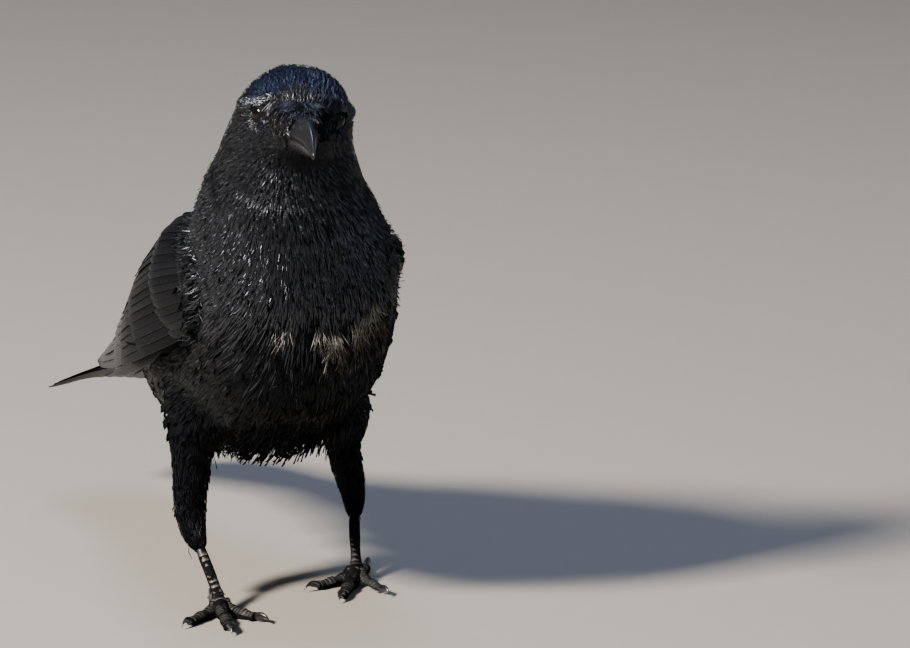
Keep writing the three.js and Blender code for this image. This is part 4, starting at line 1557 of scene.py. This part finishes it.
class CROW_OT_feet(bpy.types.Operator):
    """Models the scutes of the feet and the claws"""

    bl_idname = "crow.feet"
    bl_label = "Scutes and claws"

    def execute(self, context):
        colours = context.scene.crow_colours
        claw_horn = horn("claw_horn", colours.claw, 0.24, 26)
        plates = scute_horn("scutes", colours.foot, colours.scute_edge)
        bed = skin_bed()
        for side, leg in LEGS.items():
            rows = []
            for name, toe in TOES.items():
                digit, claw = toe_lines(leg, toe)
                bm = bmesh.new()
                sleeve(bm, 20, 28, self.claw_put(claw, toe["radius"]))
                mesh = mesh_of(f"claw_{side}_{name}", bm)
                made = finished(f"claw_{side}_{name}_horn", mesh, claw_horn)
                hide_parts(f"claw_{side}_{name}")
                rows += self.toe_scutes(digit, toe)
            rows += self.tarsus_scutes(leg)
            self.lay(f"foot_{side}_scutes", rows, plates, bed)
        return {"FINISHED"}

    def claw_put(self, claw, radius):
        """Gives the points of a claw: round above, with a keel, and running to a point."""

        def put(angle, t):
            here, _, side, face = limb_frame(claw, t)
            size = radius * 0.62 * max(1 - t**1.4, 0.03) * MM
            keel = 1 + 0.15 * math.sin(angle)
            beside, above = math.cos(angle) * 0.8, math.sin(angle) * 1.1 * keel
            return here + (side * beside + face * above) * size

        return put

    def toe_scutes(self, digit, toe):
        """For each scute of a toe: its line, where it starts, how long it is and the toe's thickness."""
        count = int(toe["length"] / SCUTE_PITCH)
        radius = toe["radius"]

        def size(t):
            return radius * lerp(1.05, 0.72, t) * (1 + 0.1 * math.cos(t * math.pi * 6))

        return [(digit, i / count, SCUTE_LAP / count, size) for i in range(count)]

    def tarsus_scutes(self, leg):
        """The same for the front of a tarsus."""
        hock, ball = leg["hock"], leg["ball"]

        def line(t):
            return [lerp(a, b, lerp(HEM + 0.01, 1, t)) for a, b in zip(hock, ball)]

        def size(t):
            return TARSUS_RADIUS * (1 + 0.5 * max(2 * t - 1, 0) ** 4)

        count = TARSUS_SCUTES
        return [(line, i / count, SCUTE_LAP / count, size) for i in range(count)]

    def lay(self, name, rows, material, bed):
        """Lays scutes round the upper half of their limbs, each over the root of the next."""
        vane = Vane(8, (1.0, 1.0, 1.0, 0.96, 0.8), thick=1.0, ridge=0.0)
        spots = []
        for line, start, long, size in rows:
            for a, row, rise in zip(vane.across, vane.row, vane.rise):
                share = row / vane.rows
                t = clamp(start + long * share)
                here, _, side, face = limb_frame(line, t)
                angle = a * SCUTE_REACH
                stand = (size(t) + 0.25 + 0.45 * share + 0.3 * rise) * MM
                outwards = 1 if face.z > 0 else -1
                spot = here + (side * math.sin(angle) + face * math.cos(angle) * outwards) * stand
                spot.z = max(spot.z, FEET.z + 0.2 * MM)
                spots.append(spot)
        co = np.array(spots).reshape(len(rows), len(vane.across), 3)
        rng = np.random.default_rng(11)
        joined_mesh(name, co, vane, {"uv": bed.uv_at(co[:, 0])}, material, rng)


# ---------------------------------------------------------------- the stage
FOCAL_LENGTH, SENSOR_WIDTH = 223.9, 36  # in millimetres
AIM_RIGHT, AIM_UP = 0.0898, 0.1447  # how far beside and above the feet the camera looks, in metres
FLOOR_HALF_SIZE = 6
LIGHTS_AIM_UP = 0.15
# The softboxes: how far to the bird's left, ahead of it and above its feet, their width and height, all
# in metres, their share of the key's power, and their colour.
SOFTBOXES = {
    "key": ((-2.5, 0.6, 2.0), (0.5, 0.5), 1.0, "#fff4e6"),
    "fill": ((2.2, 1.4, 1.2), (1.6, 1.6), 0.03, "#e6efff"),
    "sky": ((0.1, -0.6, 2.8), (0.8, 2.8), 0.12, "#c6d6ff"),
}
SURROUND, SURROUND_STRENGTH = "#cdd6e2", 0.12


class CROW_OT_stage(bpy.types.Operator):
    """Sets the floor, the camera and the studio lights"""

    bl_idname = "crow.stage"
    bl_label = "Stage"

    def execute(self, context):
        studio = context.scene.crow_studio
        self.camera(context, studio)
        bm = bmesh.new()
        bmesh.ops.create_grid(bm, x_segments=1, y_segments=1, size=FLOOR_HALF_SIZE)
        bmesh.ops.translate(bm, verts=bm.verts, vec=(0, 0, FEET.z))
        floor = bpy.data.objects.new("floor", mesh_of("floor", bm))
        floor.data.materials.append(paper("floor_paper", studio.floor))
        bpy.context.collection.objects.link(floor)
        for name, (where, size, share, colour) in SOFTBOXES.items():
            self.softbox(name, where, size, studio.key * share, linear(colour))
        world = bpy.data.worlds.new("studio")
        world.use_nodes = True
        surround = next(n for n in world.node_tree.nodes if n.type == "BACKGROUND")
        surround.inputs["Color"].default_value = opaque(linear(SURROUND))
        surround.inputs["Strength"].default_value = SURROUND_STRENGTH
        context.scene.world = world
        return {"FINISHED"}

    def camera(self, context, studio):
        """A long lens that looks at the bird from the side and a little above."""
        turn, rise = studio.azimuth, studio.elevation
        back = Vector(
            (math.sin(turn) * math.cos(rise), -math.cos(turn) * math.cos(rise), math.sin(rise))
        )
        right = Vector((0, 0, 1)).cross(back).normalized()
        up = back.cross(right)
        at = FEET + right * AIM_RIGHT + up * AIM_UP + back * studio.distance
        data = bpy.data.cameras.new("camera")
        data.lens, data.sensor_width = FOCAL_LENGTH, SENSOR_WIDTH
        data.clip_start, data.clip_end = 0.1, 50
        data.dof.use_dof = False
        camera = bpy.data.objects.new("camera", data)
        camera.matrix_world = (
            Matrix.Translation(at) @ Matrix((right, up, back)).transposed().to_4x4()
        )
        bpy.context.collection.objects.link(camera)
        context.scene.camera = camera

    def softbox(self, name, where, size, power, colour):
        """An area light that faces the bird."""
        data = bpy.data.lights.new(name, "AREA")
        data.shape = "RECTANGLE"
        data.size, data.size_y = size
        data.energy, data.color = power, colour
        lamp = bpy.data.objects.new(name, data)
        lamp.location = FEET + Vector((where[0], -where[1], where[2]))
        aim = FEET + Vector((0, 0, LIGHTS_AIM_UP)) - lamp.location
        lamp.rotation_euler = aim.to_track_quat("-Z", "Y").to_euler()
        bpy.context.collection.objects.link(lamp)


# ---------------------------------------------------------------- the add-on
STEPS = (
    CROW_OT_skin, CROW_OT_coat, CROW_OT_wings, CROW_OT_tail, CROW_OT_head, CROW_OT_feet, CROW_OT_stage,
)


class CROW_PT_panel(bpy.types.Panel):
    """Lists the steps that build the crow"""

    bl_idname = "CROW_PT_panel"
    bl_label = "Carrion Crow"
    bl_space_type = "VIEW_3D"
    bl_region_type = "UI"
    bl_category = "Crow"

    def draw(self, context):
        for step in STEPS:
            self.layout.operator(step.bl_idname)
        for name in SETTINGS:
            box = self.layout.box()
            group = getattr(context.scene, name)
            for key in group.__annotations__:
                box.prop(group, key)


SETTINGS = {"crow_plumage": CrowPlumage, "crow_colours": CrowColours, "crow_studio": CrowStudio}
CLASSES = (*SETTINGS.values(), *STEPS, CROW_PT_panel)


def register():
    for cls in CLASSES:
        bpy.utils.register_class(cls)
    for name, group in SETTINGS.items():
        setattr(bpy.types.Scene, name, bpy.props.PointerProperty(type=group))


def unregister():
    for name in SETTINGS:
        delattr(bpy.types.Scene, name)
    for cls in reversed(CLASSES):
        bpy.utils.unregister_class(cls)


def main():
    register()
    for step in STEPS:
        group, name = step.bl_idname.split(".")
        getattr(getattr(bpy.ops, group), name)()


if __name__ == "__main__":
    main()
